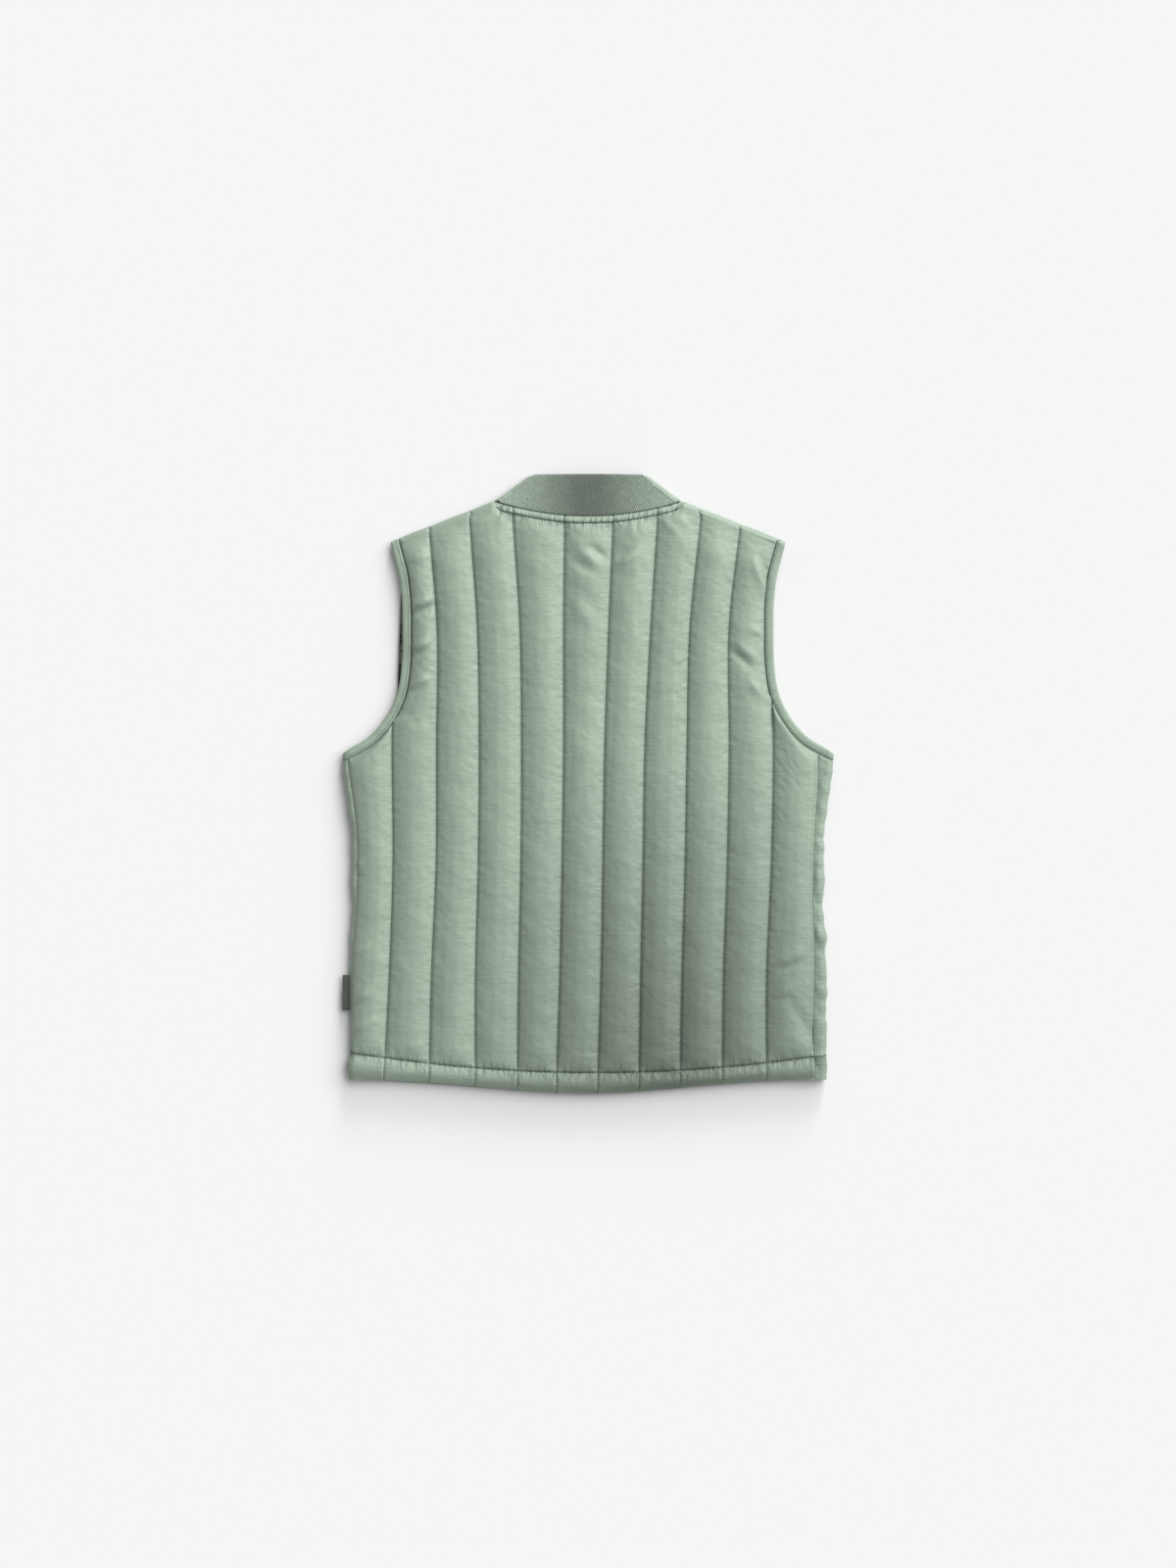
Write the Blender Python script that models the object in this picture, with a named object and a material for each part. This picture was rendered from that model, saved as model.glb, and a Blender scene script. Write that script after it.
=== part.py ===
"""A child's padded thermal vest, lying flat and face down.

The back panel shows, with its ten long quilted lines, its turned hem and a narrow strip along the neck
seam. Two fronts lie under it and wrap round the sides, up to the side seams. A rib collar is folded flat
at the neck, each armhole has a binding, and a bare tab is caught in the left side seam. Press studs close
the centre front.

Lengths in the tables are in millimetres. +X is to the right, +Y towards the neck and +Z up off the floor.
A place on a panel is its point on the plain inside of the wall, the outward direction there, and the
wall's thickness, so that padding is raised in the outer points alone.
"""

import math
from typing import NamedTuple

import bmesh
import bpy
import numpy as np
from mathutils import Vector

MM = 0.001
HALF_GAP = 0.17
CORNER_GAP = 1.5
CORNER_RELIEF = 0.5

# The folds round the sides and over the shoulders are half circles.
WALL = 2.6
SIDE_FOLD = 4.0
NECK_FOLD = 3.6
TIP_FOLD = 2.9
QUARTER = 0.5 * math.pi * SIDE_FOLD

# Heights of the walls over the floor, away from their edges, and the ramp between.
FRONT_TOP = 4.2
BACK_INSIDE = 5.2
RAMP = 30.0

# Padding.
STITCHED = 1.8
CROWN = 4.3
CROWN_POWER = 2.3

BINDING = 6.0
COLLAR_WALL = 3.0
COLLAR_TOP = 221.2
COLLAR_ARCH = 4.6
COLLAR_SEAM_ARCH = 0.6
STRIP = 5.0
BAND_INNER = BINDING + 2.0 * HALF_GAP

SHOULDER_TIP = (141.5, 173.0)
SHOULDER_NECK = (68.25, 201.6)
COLLAR_CORNER = (41.3, 221.2)
FRONT_NECK_DROP = 58.7
COLLAR_FRONT_DROP = 47.0

# The fronts lap over each other at the centre front. The outer lap stands off the floor by its studs.
LAP = 10.0
LAP_STEP = 0.5
OUTER_LAP = (1.4, 2.7)
INNER_LAP = (3.0, 4.3)
SNAP_RADIUS = 5.5
SNAP_CHAMFER = 0.9
SNAP_DEPTH = 1.05
SNAP_HEIGHTS = (122.0, 48.0, -26.0, -100.0, -174.0)


class SideRow(NamedTuple):
    """The silhouette's half width at a height, and how far in each side seam lies."""

    height: float
    half_width: float
    left_inset: float
    right_inset: float


SIDE_ROWS = (
    SideRow(-211.0, 170.6, 0.2, 8.4),
    SideRow(-184.8, 169.8, 0.2, 9.0),
    SideRow(-142.8, 170.1, 0.7, 8.6),
    SideRow(-114.8, 169.4, 1.5, 7.7),
    SideRow(-86.8, 168.0, 2.5, 7.5),
    SideRow(-58.8, 168.0, 3.2, 7.0),
    SideRow(-30.8, 169.0, 3.5, 7.0),
    SideRow(-2.8, 172.5, 3.5, 8.6),
    SideRow(11.2, 174.6, 3.5, 10.2),
    SideRow(22.0, 176.0, 3.5, 11.2),
)


class ArmholePoint(NamedTuple):
    """A point on the armhole's outer edge, from the underarm corner to the shoulder tip."""

    half_width: float
    height: float


ARMHOLE_POINTS = (
    ArmholePoint(176.0, 22.0),
    ArmholePoint(170.6, 25.2),
    ArmholePoint(156.8, 33.6),
    ArmholePoint(148.8, 42.0),
    ArmholePoint(143.0, 50.4),
    ArmholePoint(138.6, 58.8),
    ArmholePoint(135.6, 68.0),
    ArmholePoint(133.3, 84.0),
    ArmholePoint(132.6, 109.0),
    ArmholePoint(133.3, 134.4),
    ArmholePoint(135.6, 151.2),
    ArmholePoint(138.2, 161.0),
    ArmholePoint(*SHOULDER_TIP),
)


class QuiltLine(NamedTuple):
    """A quilted line's place across the back, at the heights in QUILT_HEIGHTS."""

    top: float
    chest: float
    underarm: float
    waist: float
    hip: float
    hem: float


QUILT_HEIGHTS = (188.0, 112.0, 28.0, -56.0, -140.0, -206.0)
QUILT_LINES = (
    QuiltLine(-139.3, -139.3, -140.0, -139.3, -142.1, -145.6),
    QuiltLine(-114.0, -107.8, -108.2, -108.5, -112.0, -113.4),
    QuiltLine(-84.5, -79.1, -77.7, -78.4, -80.5, -80.5),
    QuiltLine(-53.6, -48.7, -47.6, -48.0, -49.7, -50.4),
    QuiltLine(-16.8, -17.5, -17.5, -18.6, -20.3, -22.4),
    QuiltLine(17.9, 14.7, 11.9, 10.5, 9.1, 7.0),
    QuiltLine(49.6, 44.8, 40.6, 39.2, 37.5, 36.4),
    QuiltLine(80.4, 72.8, 70.7, 69.3, 66.9, 65.8),
    QuiltLine(109.2, 100.8, 100.8, 99.4, 96.6, 95.9),
    QuiltLine(130.2, 130.2, 132.3, 130.9, 127.4, 127.4),
)
LAST_LINE = len(QUILT_LINES)

# Heights where the outermost quilted lines meet the armholes, and the like height at the centre front.
LEFT_JUNCTION = 45.5
RIGHT_JUNCTION = 61.6
FRONT_JUNCTION = 54.0

# Rows of the panels: the hem, the body up to the armholes and the part above; and steps across a channel.
HEM_FOLD = 1.8
ABOVE_STITCH = (5.0, 14.0)
BELOW_JUNCTION = 8.0
BODY_STEPS = (0.0, 0.1, 0.23, 0.36, 0.49, 0.62, 0.75, 0.88)
UPPER_STEPS = (0.1, 0.24, 0.4, 0.56, 0.72, 0.86, 0.94)
STRIP_STEPS = (1.0, 0.55, 0.2, 0.0)
FOLD_ANGLES = tuple(math.radians(angle) for angle in (90.0, 58.0, 28.0, 2.0))
CHANNEL_STEPS = (0.0, 0.25, 0.5, 0.75)
SIDE_STEPS = (0.0, 0.07, 0.2, 0.4, 0.6, 0.8)


class Place(NamedTuple):
    """A point on a wall's inside, the direction out of the wall there, and its thickness."""

    inside: tuple
    outward: tuple
    thickness: float


def smooth_step(value):
    """Rises from 0 to 1 with level ends."""
    value = min(max(value, 0.0), 1.0)
    return value * value * (3.0 - 2.0 * value)


def mix(a, b, share):
    return a + (b - a) * share


def table_curve(places, values, at):
    """Reads a smooth curve through a table's values."""
    order = np.argsort(places)
    places = np.asarray(places, float)[order]
    values = np.asarray(values, float)[order]
    slopes = np.gradient(values, places)
    k = int(np.clip(np.searchsorted(places, at) - 1, 0, len(places) - 2))
    width = places[k + 1] - places[k]
    s = (at - places[k]) / width
    if s < 0.0 or s > 1.0:
        return float(np.interp(at, places, values))
    rise = (1 + 2 * s) * (1 - s) ** 2 * values[k] + s * s * (3 - 2 * s) * values[k + 1]
    return float(rise + width * (s * (1 - s) ** 2 * slopes[k] + s * s * (s - 1) * slopes[k + 1]))


def side_value(column, height):
    """A column of SIDE_ROWS at a height."""
    return table_curve([r.height for r in SIDE_ROWS], [getattr(r, column) for r in SIDE_ROWS], height)


def half_width(height):
    return side_value("half_width", height)


def quilt_x(line, height):
    """Where a quilted line, numbered from 1 at the left, lies at a height."""
    return table_curve(QUILT_HEIGHTS, QUILT_LINES[line - 1], height)


def hem_edge(x):
    """Height of the bottom edge, which dips at the middle."""
    return -210.4 - 10.8 * math.exp(-((x / 100.0) ** 2))


def hem_stitch(x):
    """Height of the hem's topstitching."""
    return -206.2 + 13.3 * ((x - 5.6) / 168.0) ** 2


def back_neck(x):
    """Height of the collar seam on the back."""
    return 191.5 + 10.5 * (x / 66.5) ** 2


def body_heights(x, top):
    """Heights of a panel's rows from the hem up to the junction row, at a place across it."""
    low = hem_edge(x)
    stitch = hem_stitch(x)
    heights = [low, low + HEM_FOLD, mix(low, stitch, 0.55), stitch, stitch + ABOVE_STITCH[0]]
    start = stitch + ABOVE_STITCH[1]
    heights += [mix(start, top - BELOW_JUNCTION, step) for step in BODY_STEPS]
    return [*heights, top - BELOW_JUNCTION, top]


# The front neckline is a quarter ellipse on each side, from the collar's fold to the centre front.
NECK_OUT = Vector((COLLAR_CORNER[1] - SHOULDER_NECK[1], SHOULDER_NECK[0] - COLLAR_CORNER[0])).normalized()
NECK_START = (SHOULDER_NECK[0] - NECK_FOLD * NECK_OUT.x, SHOULDER_NECK[1] - NECK_FOLD * NECK_OUT.y)
NECK_ANGLES = tuple(math.radians(angle) for angle in (90.0, 75.0, 60.0, 45.0, 30.0, 15.0, 7.5, 2.5))


def front_neck(x):
    """Height of the collar seam on the fronts."""
    share = min(abs(x) / NECK_START[0], 1.0)
    return NECK_START[1] - FRONT_NECK_DROP * math.sqrt(1.0 - share * share)


# The armhole's outer edge, read by arc length from the underarm corner.
ARM_LENGTHS = np.concatenate(
    [[0.0], np.cumsum(np.linalg.norm(np.diff(np.array(ARMHOLE_POINTS), axis=0), axis=1))]
)
ARM_LENGTH = float(ARM_LENGTHS[-1])


def armhole_edge(along):
    """Half width and height on the armhole's outer edge, at a length along it."""
    return Vector(
        (
            table_curve(ARM_LENGTHS, [p.half_width for p in ARMHOLE_POINTS], along),
            table_curve(ARM_LENGTHS, [p.height for p in ARMHOLE_POINTS], along),
        )
    )


def armhole_point(along, inwards):
    """A point on the armhole band, so far in from its outer edge. The band runs down the side at first."""
    before = max(along - 1.0, 0.0)
    after = min(along + 1.0, ARM_LENGTH)
    ahead = armhole_edge(after) - armhole_edge(before)
    inward = Vector((ahead.x, ahead.y)).normalized()
    inward = Vector((-inward.y, inward.x))
    turn = smooth_step(along / 9.0)
    inward = Vector((0.0, -1.0)).lerp(inward, turn).normalized()
    return armhole_edge(along) + inwards * inward


def inset_of(point):
    """How far a point of the armhole band lies in from the side silhouette."""
    return max(half_width(min(point.y, SIDE_ROWS[-1].height)) - point.x, 0.0)


BAND_SAMPLES = np.linspace(0.0, 80.0, 161)
BAND_INSETS = np.maximum.accumulate(
    [inset_of(armhole_point(along, BAND_INNER)) for along in BAND_SAMPLES]
)
BAND_HEIGHTS = [armhole_point(along, BAND_INNER).y for along in BAND_SAMPLES]


def along_at_inset(inset):
    return float(np.interp(inset, BAND_INSETS, BAND_SAMPLES))


def along_at_height(height):
    return float(np.interp(height, BAND_HEIGHTS, BAND_SAMPLES))


def arc_of_inset(inset, side):
    """Arc distance round the side fold of a point so far in; side is 1 on top and -1 below."""
    if inset < SIDE_FOLD:
        return side * SIDE_FOLD * math.acos(1.0 - inset / SIDE_FOLD)
    return side * (QUARTER + inset - SIDE_FOLD)


def inset_of_arc(arc):
    if abs(arc) < QUARTER:
        return SIDE_FOLD * (1.0 - math.cos(arc / SIDE_FOLD))
    return SIDE_FOLD + abs(arc) - QUARTER


def seam_arc(sign, height):
    """Arc distance of the side seam round the fold."""
    column = "left_inset" if sign < 0 else "right_inset"
    return arc_of_inset(side_value(column, height), 1)


def seam_half_gap(sign):
    """Half the gap at a side seam, which is wider on the left, where the seam rolls under the edge."""
    return 1.7 * HALF_GAP if sign < 0 else HALF_GAP


def armhole_inside(along):
    """Height of the back wall's inside along the armhole, which sinks away from the underarm."""
    return mix(SIDE_FOLD + (SIDE_FOLD - WALL), TIP_FOLD + (TIP_FOLD - WALL), smooth_step(along / 50.0))


def on_side(sign, arc, height, inside, thickness):
    """A place at an arc distance round the side fold; inside is its height where the wall is flat."""
    half = half_width(min(height, SIDE_ROWS[-1].height))
    if abs(arc) < QUARTER:
        angle = arc / SIDE_FOLD
        radius = SIDE_FOLD - WALL
        point = (
            sign * (half - SIDE_FOLD + radius * math.cos(angle)),
            height,
            SIDE_FOLD + radius * math.sin(angle),
        )
        return Place(point, (sign * math.cos(angle), 0.0, math.sin(angle)), thickness)
    x = sign * (half - inset_of_arc(arc))
    return Place((x, height, inside), (0.0, 0.0, math.copysign(1.0, arc)), thickness)


SHOULDER_RUN = Vector(SHOULDER_NECK) - Vector(SHOULDER_TIP)
SHOULDER_OUT = Vector((SHOULDER_RUN.y, -SHOULDER_RUN.x)).normalized()


def shoulder_radius(half):
    """Radius of the fold over the shoulder, which grows from the tip to the neck."""
    share = (SHOULDER_TIP[0] - half) / (SHOULDER_TIP[0] - SHOULDER_NECK[0])
    return mix(TIP_FOLD, NECK_FOLD, min(max(share, 0.0), 1.0))


def on_shoulder(sign, half, angle, thickness):
    """A place on the fold over the shoulder: angle is 90 degrees on top and -90 below."""
    share = (SHOULDER_TIP[0] - half) / -SHOULDER_RUN.x
    edge = Vector(SHOULDER_TIP) + share * SHOULDER_RUN
    radius = shoulder_radius(half)
    flat = edge - SHOULDER_OUT * (radius - (radius - WALL) * math.cos(angle))
    point = (sign * flat.x, flat.y, radius + (radius - WALL) * math.sin(angle))
    out = SHOULDER_OUT * math.cos(angle)
    return Place(point, (sign * out.x, out.y, math.sin(angle)), thickness)


def crown(share, height=CROWN):
    """The padding's rise at a share of the way across a channel."""
    return height * (1.0 - abs(2.0 * share - 1.0) ** CROWN_POWER)


def link(name, rows, kept, material, closed=False):
    """Makes a closed wall from a grid of places.

    The sheet starts as a grid primitive whose points are laid on the wall's inside. Cells that kept
    refuses are deleted. The rest is extruded, and the new points are moved out by the thickness.
    """
    columns = len(rows[0])
    count = len(rows)
    bm = bmesh.new()
    bmesh.ops.create_grid(bm, x_segments=columns - 1, y_segments=count - 1, size=0.5)
    tag = bm.verts.layers.int.new("place")
    for vert in bm.verts:
        column = round((vert.co.x + 0.5) * (columns - 1))
        row = round((vert.co.y + 0.5) * (count - 1))
        vert[tag] = row * columns + column
    unwanted = []
    for face in bm.faces:
        cells = [(vert[tag] // columns, vert[tag] % columns) for vert in face.verts]
        if not kept(min(c[0] for c in cells), min(c[1] for c in cells)):
            unwanted.append(face)
    bmesh.ops.delete(bm, geom=unwanted, context="FACES")
    if closed:
        weld_ends(bm, tag, columns, count)
    inside = list(bm.verts)
    grown = bmesh.ops.extrude_face_region(bm, geom=list(bm.faces))["geom"]
    outside = [item for item in grown if isinstance(item, bmesh.types.BMVert)]
    for verts, share in ((inside, 0.0), (outside, 1.0)):
        for vert in verts:
            place = rows[vert[tag] // columns][vert[tag] % columns]
            moved = Vector(place.inside) + share * place.thickness * Vector(place.outward)
            vert.co = moved * MM
    return finish(name, bm, material)


def weld_ends(bm, tag, columns, count):
    """Joins the last row of a sheet to its first, for a wall that runs round in a ring."""
    first = {vert[tag]: vert for vert in bm.verts if vert[tag] < columns}
    last = [vert for vert in bm.verts if vert[tag] >= (count - 1) * columns]
    targets = {vert: first[vert[tag] % columns] for vert in last}
    bmesh.ops.weld_verts(bm, targetmap=targets)


def finish(name, bm, material):
    """Turns a bmesh into a named object with its faces outwards."""
    bmesh.ops.recalc_face_normals(bm, faces=list(bm.faces))
    mesh = bpy.data.meshes.new(name)
    bm.to_mesh(mesh)
    bm.free()
    mesh.shade_smooth()
    mesh.set_sharp_from_angle(angle=math.radians(50.0))
    mesh.materials.append(material)
    piece = bpy.data.objects.new(name, mesh)
    bpy.context.collection.objects.link(piece)
    return piece


def make_material(name, colour, roughness, metallic=0.0):
    material = bpy.data.materials.new(name)
    material.use_nodes = True
    shader = material.node_tree.nodes["Principled BSDF"]
    shader.inputs["Base Color"].default_value = (*colour, 1.0)
    shader.inputs["Roughness"].default_value = roughness
    shader.inputs["Metallic"].default_value = metallic
    return material


# The back panel.


def back_columns():
    """The panel's columns as pairs of a channel and a share across it, from left to right."""
    columns = []
    for channel in range(LAST_LINE + 1):
        steps = CHANNEL_STEPS
        if channel == 0:
            steps = SIDE_STEPS
        if channel == LAST_LINE:
            steps = tuple(1.0 - step for step in reversed(SIDE_STEPS[1:]))
            steps = (0.0, *steps)
        for line, sign in ((3, -1), (7, 1)):
            if channel == line:
                steps = neck_channel_steps(line, sign)
        columns += [(channel, step) for step in steps]
    return [*columns, (LAST_LINE, 1.0)]


def neck_corner():
    """Where the collar seam reaches the top of the collar's fold."""
    along = Vector(COLLAR_CORNER) - Vector(SHOULDER_NECK)
    along.normalize()
    for step in (0.05 * k for k in range(161)):
        point = Vector(NECK_START) + step * along
        if point.y >= back_neck(point.x):
            return point, step
    return Vector(NECK_START), 0.0


CORNER, CORNER_STEP = neck_corner()


def neck_channel_steps(line, sign):
    """Steps across the channel that holds the end of the shoulder, with one on each side of it."""
    left = QUILT_LINES[line - 1].top
    right = QUILT_LINES[line].top
    shares = sorted((sign * half - left) / (right - left) for half in (SHOULDER_NECK[0] + 0.3, CORNER.x))
    ends = (0.5 * shares[0], 0.5 * (shares[1] + 1.0))
    return (0.0, ends[0], *shares, ends[1])


def line_place(line, share):
    """X and height of a quilted line, or of an armhole edge, on an upper row."""
    if line in (1, LAST_LINE):
        sign = -1 if line == 1 else 1
        start = along_at_height(LEFT_JUNCTION if line == 1 else RIGHT_JUNCTION)
        along = mix(start, ARM_LENGTH - TIP_FOLD, share)
        point = armhole_point(along, BAND_INNER)
        return sign * point.x, point.y
    low = junction_height(line)
    top = top_height(QUILT_LINES[line - 1].top)
    height = mix(low, top, share)
    return quilt_x(line, height), height


def junction_height(line):
    return mix(LEFT_JUNCTION, RIGHT_JUNCTION, (line - 1) / (LAST_LINE - 1))


def top_height(x):
    """Height of the first fold or strip row at a place across the back."""
    if abs(x) > CORNER.x + 0.5:
        return on_shoulder(1, abs(x), FOLD_ANGLES[0], 0.0).inside[1]
    return back_neck(x) - STRIP - HALF_GAP


def body_top(channel, share):
    """Height of the junction row."""
    if channel == 0:
        return armhole_point(channel_along(-1, 1.0 - share), BAND_INNER).y
    if channel == LAST_LINE:
        return armhole_point(channel_along(1, share), BAND_INNER).y
    return mix(junction_height(channel), junction_height(channel + 1), share)


def junction_arcs(sign):
    """Arc distances of the seam and of the armhole's junction, on the junction row."""
    height = LEFT_JUNCTION if sign < 0 else RIGHT_JUNCTION
    point = armhole_point(along_at_height(height), BAND_INNER)
    seam = seam_arc(sign, SIDE_ROWS[-1].height - BINDING)
    return seam + seam_half_gap(sign), arc_of_inset(inset_of(point), 1)


def channel_along(sign, share):
    """Length along the armhole at a share of the way from the junction out to the side seam."""
    seam, junction = junction_arcs(sign)
    height = LEFT_JUNCTION if sign < 0 else RIGHT_JUNCTION
    near = along_at_inset(inset_of_arc(seam))
    return mix(along_at_height(height), near, share)


BODY_ROWS = len(body_heights(0.0, 0.0))
JUNCTION_ROW = BODY_ROWS - 1
HEM_STITCH_ROW = 3


def body_padding(row):
    """How full the padding is on a row of the body, and the wall's least thickness there."""
    if row < HEM_STITCH_ROW:
        return 0.12, (2.3, 3.3, 3.7)[row]
    return {HEM_STITCH_ROW: (0.08, 1.9), HEM_STITCH_ROW + 1: (0.72, STITCHED)}.get(row, (1.0, STITCHED))


def side_channel_place(column, row):
    """A place in the channel between a side seam and the outermost line."""
    channel, share = column
    sign = -1 if channel == 0 else 1
    outwards = 1.0 - share if channel == 0 else share
    line = 1 if channel == 0 else LAST_LINE
    fullness, least = body_padding(row)
    if row == JUNCTION_ROW:
        along = channel_along(sign, outwards)
        point = armhole_point(along, BAND_INNER)
        arc = arc_of_inset(inset_of(point), 1)
        return on_side(sign, arc, point.y, armhole_inside(along), WALL)
    edge_x = sign * (SIDE_ROWS[0].half_width - 5.0) if outwards > 0.5 else quilt_x(line, -200.0)
    height = body_heights(edge_x, body_top(channel, share))[row]
    seam = seam_arc(sign, height) + seam_half_gap(sign)
    half = half_width(min(height, SIDE_ROWS[-1].height))
    line_arc = arc_of_inset(half - abs(quilt_x(line, height)), 1)
    arc = mix(line_arc, seam, outwards)
    inset = inset_of_arc(arc)
    base = mix(SIDE_FOLD + SIDE_FOLD - WALL, BACK_INSIDE, smooth_step((inset - SIDE_FOLD) / RAMP))
    if row == JUNCTION_ROW - 1:
        fullness *= 0.6
        base = mix(base, armhole_inside(channel_along(sign, outwards)), 0.8)
    thickness = mix(least, max(WALL, least), smooth_step(outwards)) + fullness * crown(share)
    return on_side(sign, arc, height, base, thickness)


def inner_channel_place(column, row):
    """A place in one of the nine channels between the outermost lines, below the junction."""
    channel, share = column
    nominal = mix(quilt_x(channel, -200.0), quilt_x(channel + 1, -200.0), share)
    height = body_heights(nominal, body_top(channel, share))[row]
    x = mix(quilt_x(channel, height), quilt_x(channel + 1, height), share)
    fullness, least = body_padding(row)
    if row == JUNCTION_ROW:
        (x0, y0), (x1, y1) = line_place(channel, 0.0), line_place(channel + 1, 0.0)
        x, height = mix(x0, x1, share), mix(y0, y1, share)
    base = back_inside(x, height)
    return Place((x, height, base), (0.0, 0.0, 1.0), least + fullness * crown(share))


def back_inside(x, height):
    """Height of the back wall's inside, which sinks towards the armholes and the shoulders."""
    level = BACK_INSIDE
    if height > LEFT_JUNCTION - RAMP:
        along = float(np.interp(height, ARM_HEIGHTS, ARM_SAMPLES))
        edge = armhole_point(along, BINDING)
        far = smooth_step(math.hypot(max(edge.x - abs(x), 0.0), max(LEFT_JUNCTION - height, 0.0)) / RAMP)
        level = mix(armhole_inside(along), level, far)
    top = top_height(x)
    radius = shoulder_radius(abs(x))
    top_level = 2.0 * radius - WALL
    return min(level, mix(top_level, BACK_INSIDE, smooth_step((top - height) / RAMP)))


ARM_SAMPLES = np.linspace(0.0, ARM_LENGTH, 200)
ARM_HEIGHTS = [armhole_point(along, BINDING).y for along in ARM_SAMPLES]


def upper_place(column, step):
    """A place above the junction and below the folds."""
    channel, share = column
    (x0, y0), (x1, y1) = line_place(channel, step), line_place(channel + 1, step)
    x, height = mix(x0, x1, share), mix(y0, y1, share)
    least = STITCHED
    if channel == 1:
        least = mix(WALL, STITCHED, share)
    if channel == LAST_LINE - 1:
        least = mix(STITCHED, WALL, share)
    if step > 0.99:
        height = top_height(x)
    fullness = 1.0 if step < 0.9 else 0.85
    return Place((x, height, back_inside(x, height)), (0.0, 0.0, 1.0), least + fullness * crown(share))


def top_place(column, fold_row):
    """A place on the shoulder's fold or on the strip along the neck."""
    channel, share = column
    x0 = line_top(channel)
    x1 = line_top(channel + 1)
    x = mix(x0, x1, share)
    if abs(x) > CORNER.x + 0.5:
        thickness = WALL + (0.5, 0.4, 0.3, 0.25)[fold_row] * crown(share)
        return on_shoulder(math.copysign(1, x), abs(x), FOLD_ANGLES[fold_row], thickness)
    seam = back_neck(x) - HALF_GAP - CORNER_RELIEF * smooth_step((abs(x) - 50.0) / (CORNER.x - 50.0))
    height = seam - STRIP * STRIP_STEPS[fold_row]
    thickness = (STITCHED, 3.1, 3.1, 2.3)[fold_row]
    level = 2.0 * NECK_FOLD - WALL + 0.3 * (1.0 - (x / CORNER.x) ** 2)
    return Place((x, height, level), (0.0, 0.0, 1.0), thickness)


def line_top(line):
    """Where a line meets the shoulder or the neck."""
    if line in (1, LAST_LINE):
        half = SHOULDER_TIP[0] - BAND_INNER * -SHOULDER_RUN.x / SHOULDER_RUN.length
        return -half if line == 1 else half
    return QUILT_LINES[line - 1].top


def make_back(material):
    columns = back_columns()
    upper = [column for column in columns if 1 <= column[0] < LAST_LINE or column == (LAST_LINE, 0.0)]
    first = columns.index(upper[0])
    last = first + len(upper) - 1
    rows = []
    for row in range(BODY_ROWS):
        rows.append(
            [
                side_channel_place(column, row)
                if column[0] in (0, LAST_LINE)
                else inner_channel_place(column, row)
                for column in columns
            ]
        )
    for step in (*UPPER_STEPS, None, *range(1, len(FOLD_ANGLES))):
        places = []
        for column in columns:
            inner = column if 1 <= column[0] < LAST_LINE else (LAST_LINE - 1, 1.0)
            if step is None:
                places.append(top_place(inner, 0))
            elif isinstance(step, int):
                places.append(top_place(inner, step))
            else:
                places.append(upper_place(inner, step))
        rows.append(places)

    def kept(row, column):
        return row < JUNCTION_ROW or first <= column < last

    return link("back", rows, kept, material)


# The fronts.


def front_columns():
    """Half widths of a front's columns at the neck and shoulder, and their shares of the way out."""
    tops = [NECK_START[0] * math.cos(angle) for angle in NECK_ANGLES[1:]]
    tops += [SHOULDER_NECK[0] + HALF_GAP, 90.0, 112.0, line_top(LAST_LINE)]
    return tops, [(top - LAP) / (tops[-1] - LAP) for top in tops]


FOLD_COLUMNS = 7
SIDE_COLUMNS = 3


def lap_columns(sign):
    """Half width, underside and top of each column on the thin lap at the centre front."""
    low, high = OUTER_LAP if sign < 0 else INNER_LAP
    root = LAP + 2.0 * HALF_GAP
    return [(-LAP, low, high), (0.0, low, high), (root, low, high), (root + LAP_STEP, 0.0, None)]


def front_top(x, height):
    """Height of a front's upper face, which sinks towards its edges."""
    half = abs(x)
    far = RAMP
    if height > LEFT_JUNCTION - RAMP:
        along = float(np.interp(height, ARM_HEIGHTS, ARM_SAMPLES))
        edge = armhole_point(along, BINDING)
        far = min(far, math.hypot(max(edge.x - half, 0.0), max(LEFT_JUNCTION - height, 0.0)))
    far = min(far, max(half_width(min(height, 22.0)) - SIDE_FOLD - half, 0.0))
    if half < NECK_START[0] + 1.0:
        far = min(far, max(front_neck(half) - height, 0.0))
    if half > SHOULDER_NECK[0]:
        far = min(far, max(on_shoulder(1, half, FOLD_ANGLES[0], 0.0).inside[1] - height, 0.0))
    return mix(WALL, FRONT_TOP, smooth_step(far / RAMP))


def flat_front(x, height, floor, top):
    return Place((x, height, top), (0.0, 0.0, -1.0), top - floor)


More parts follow.
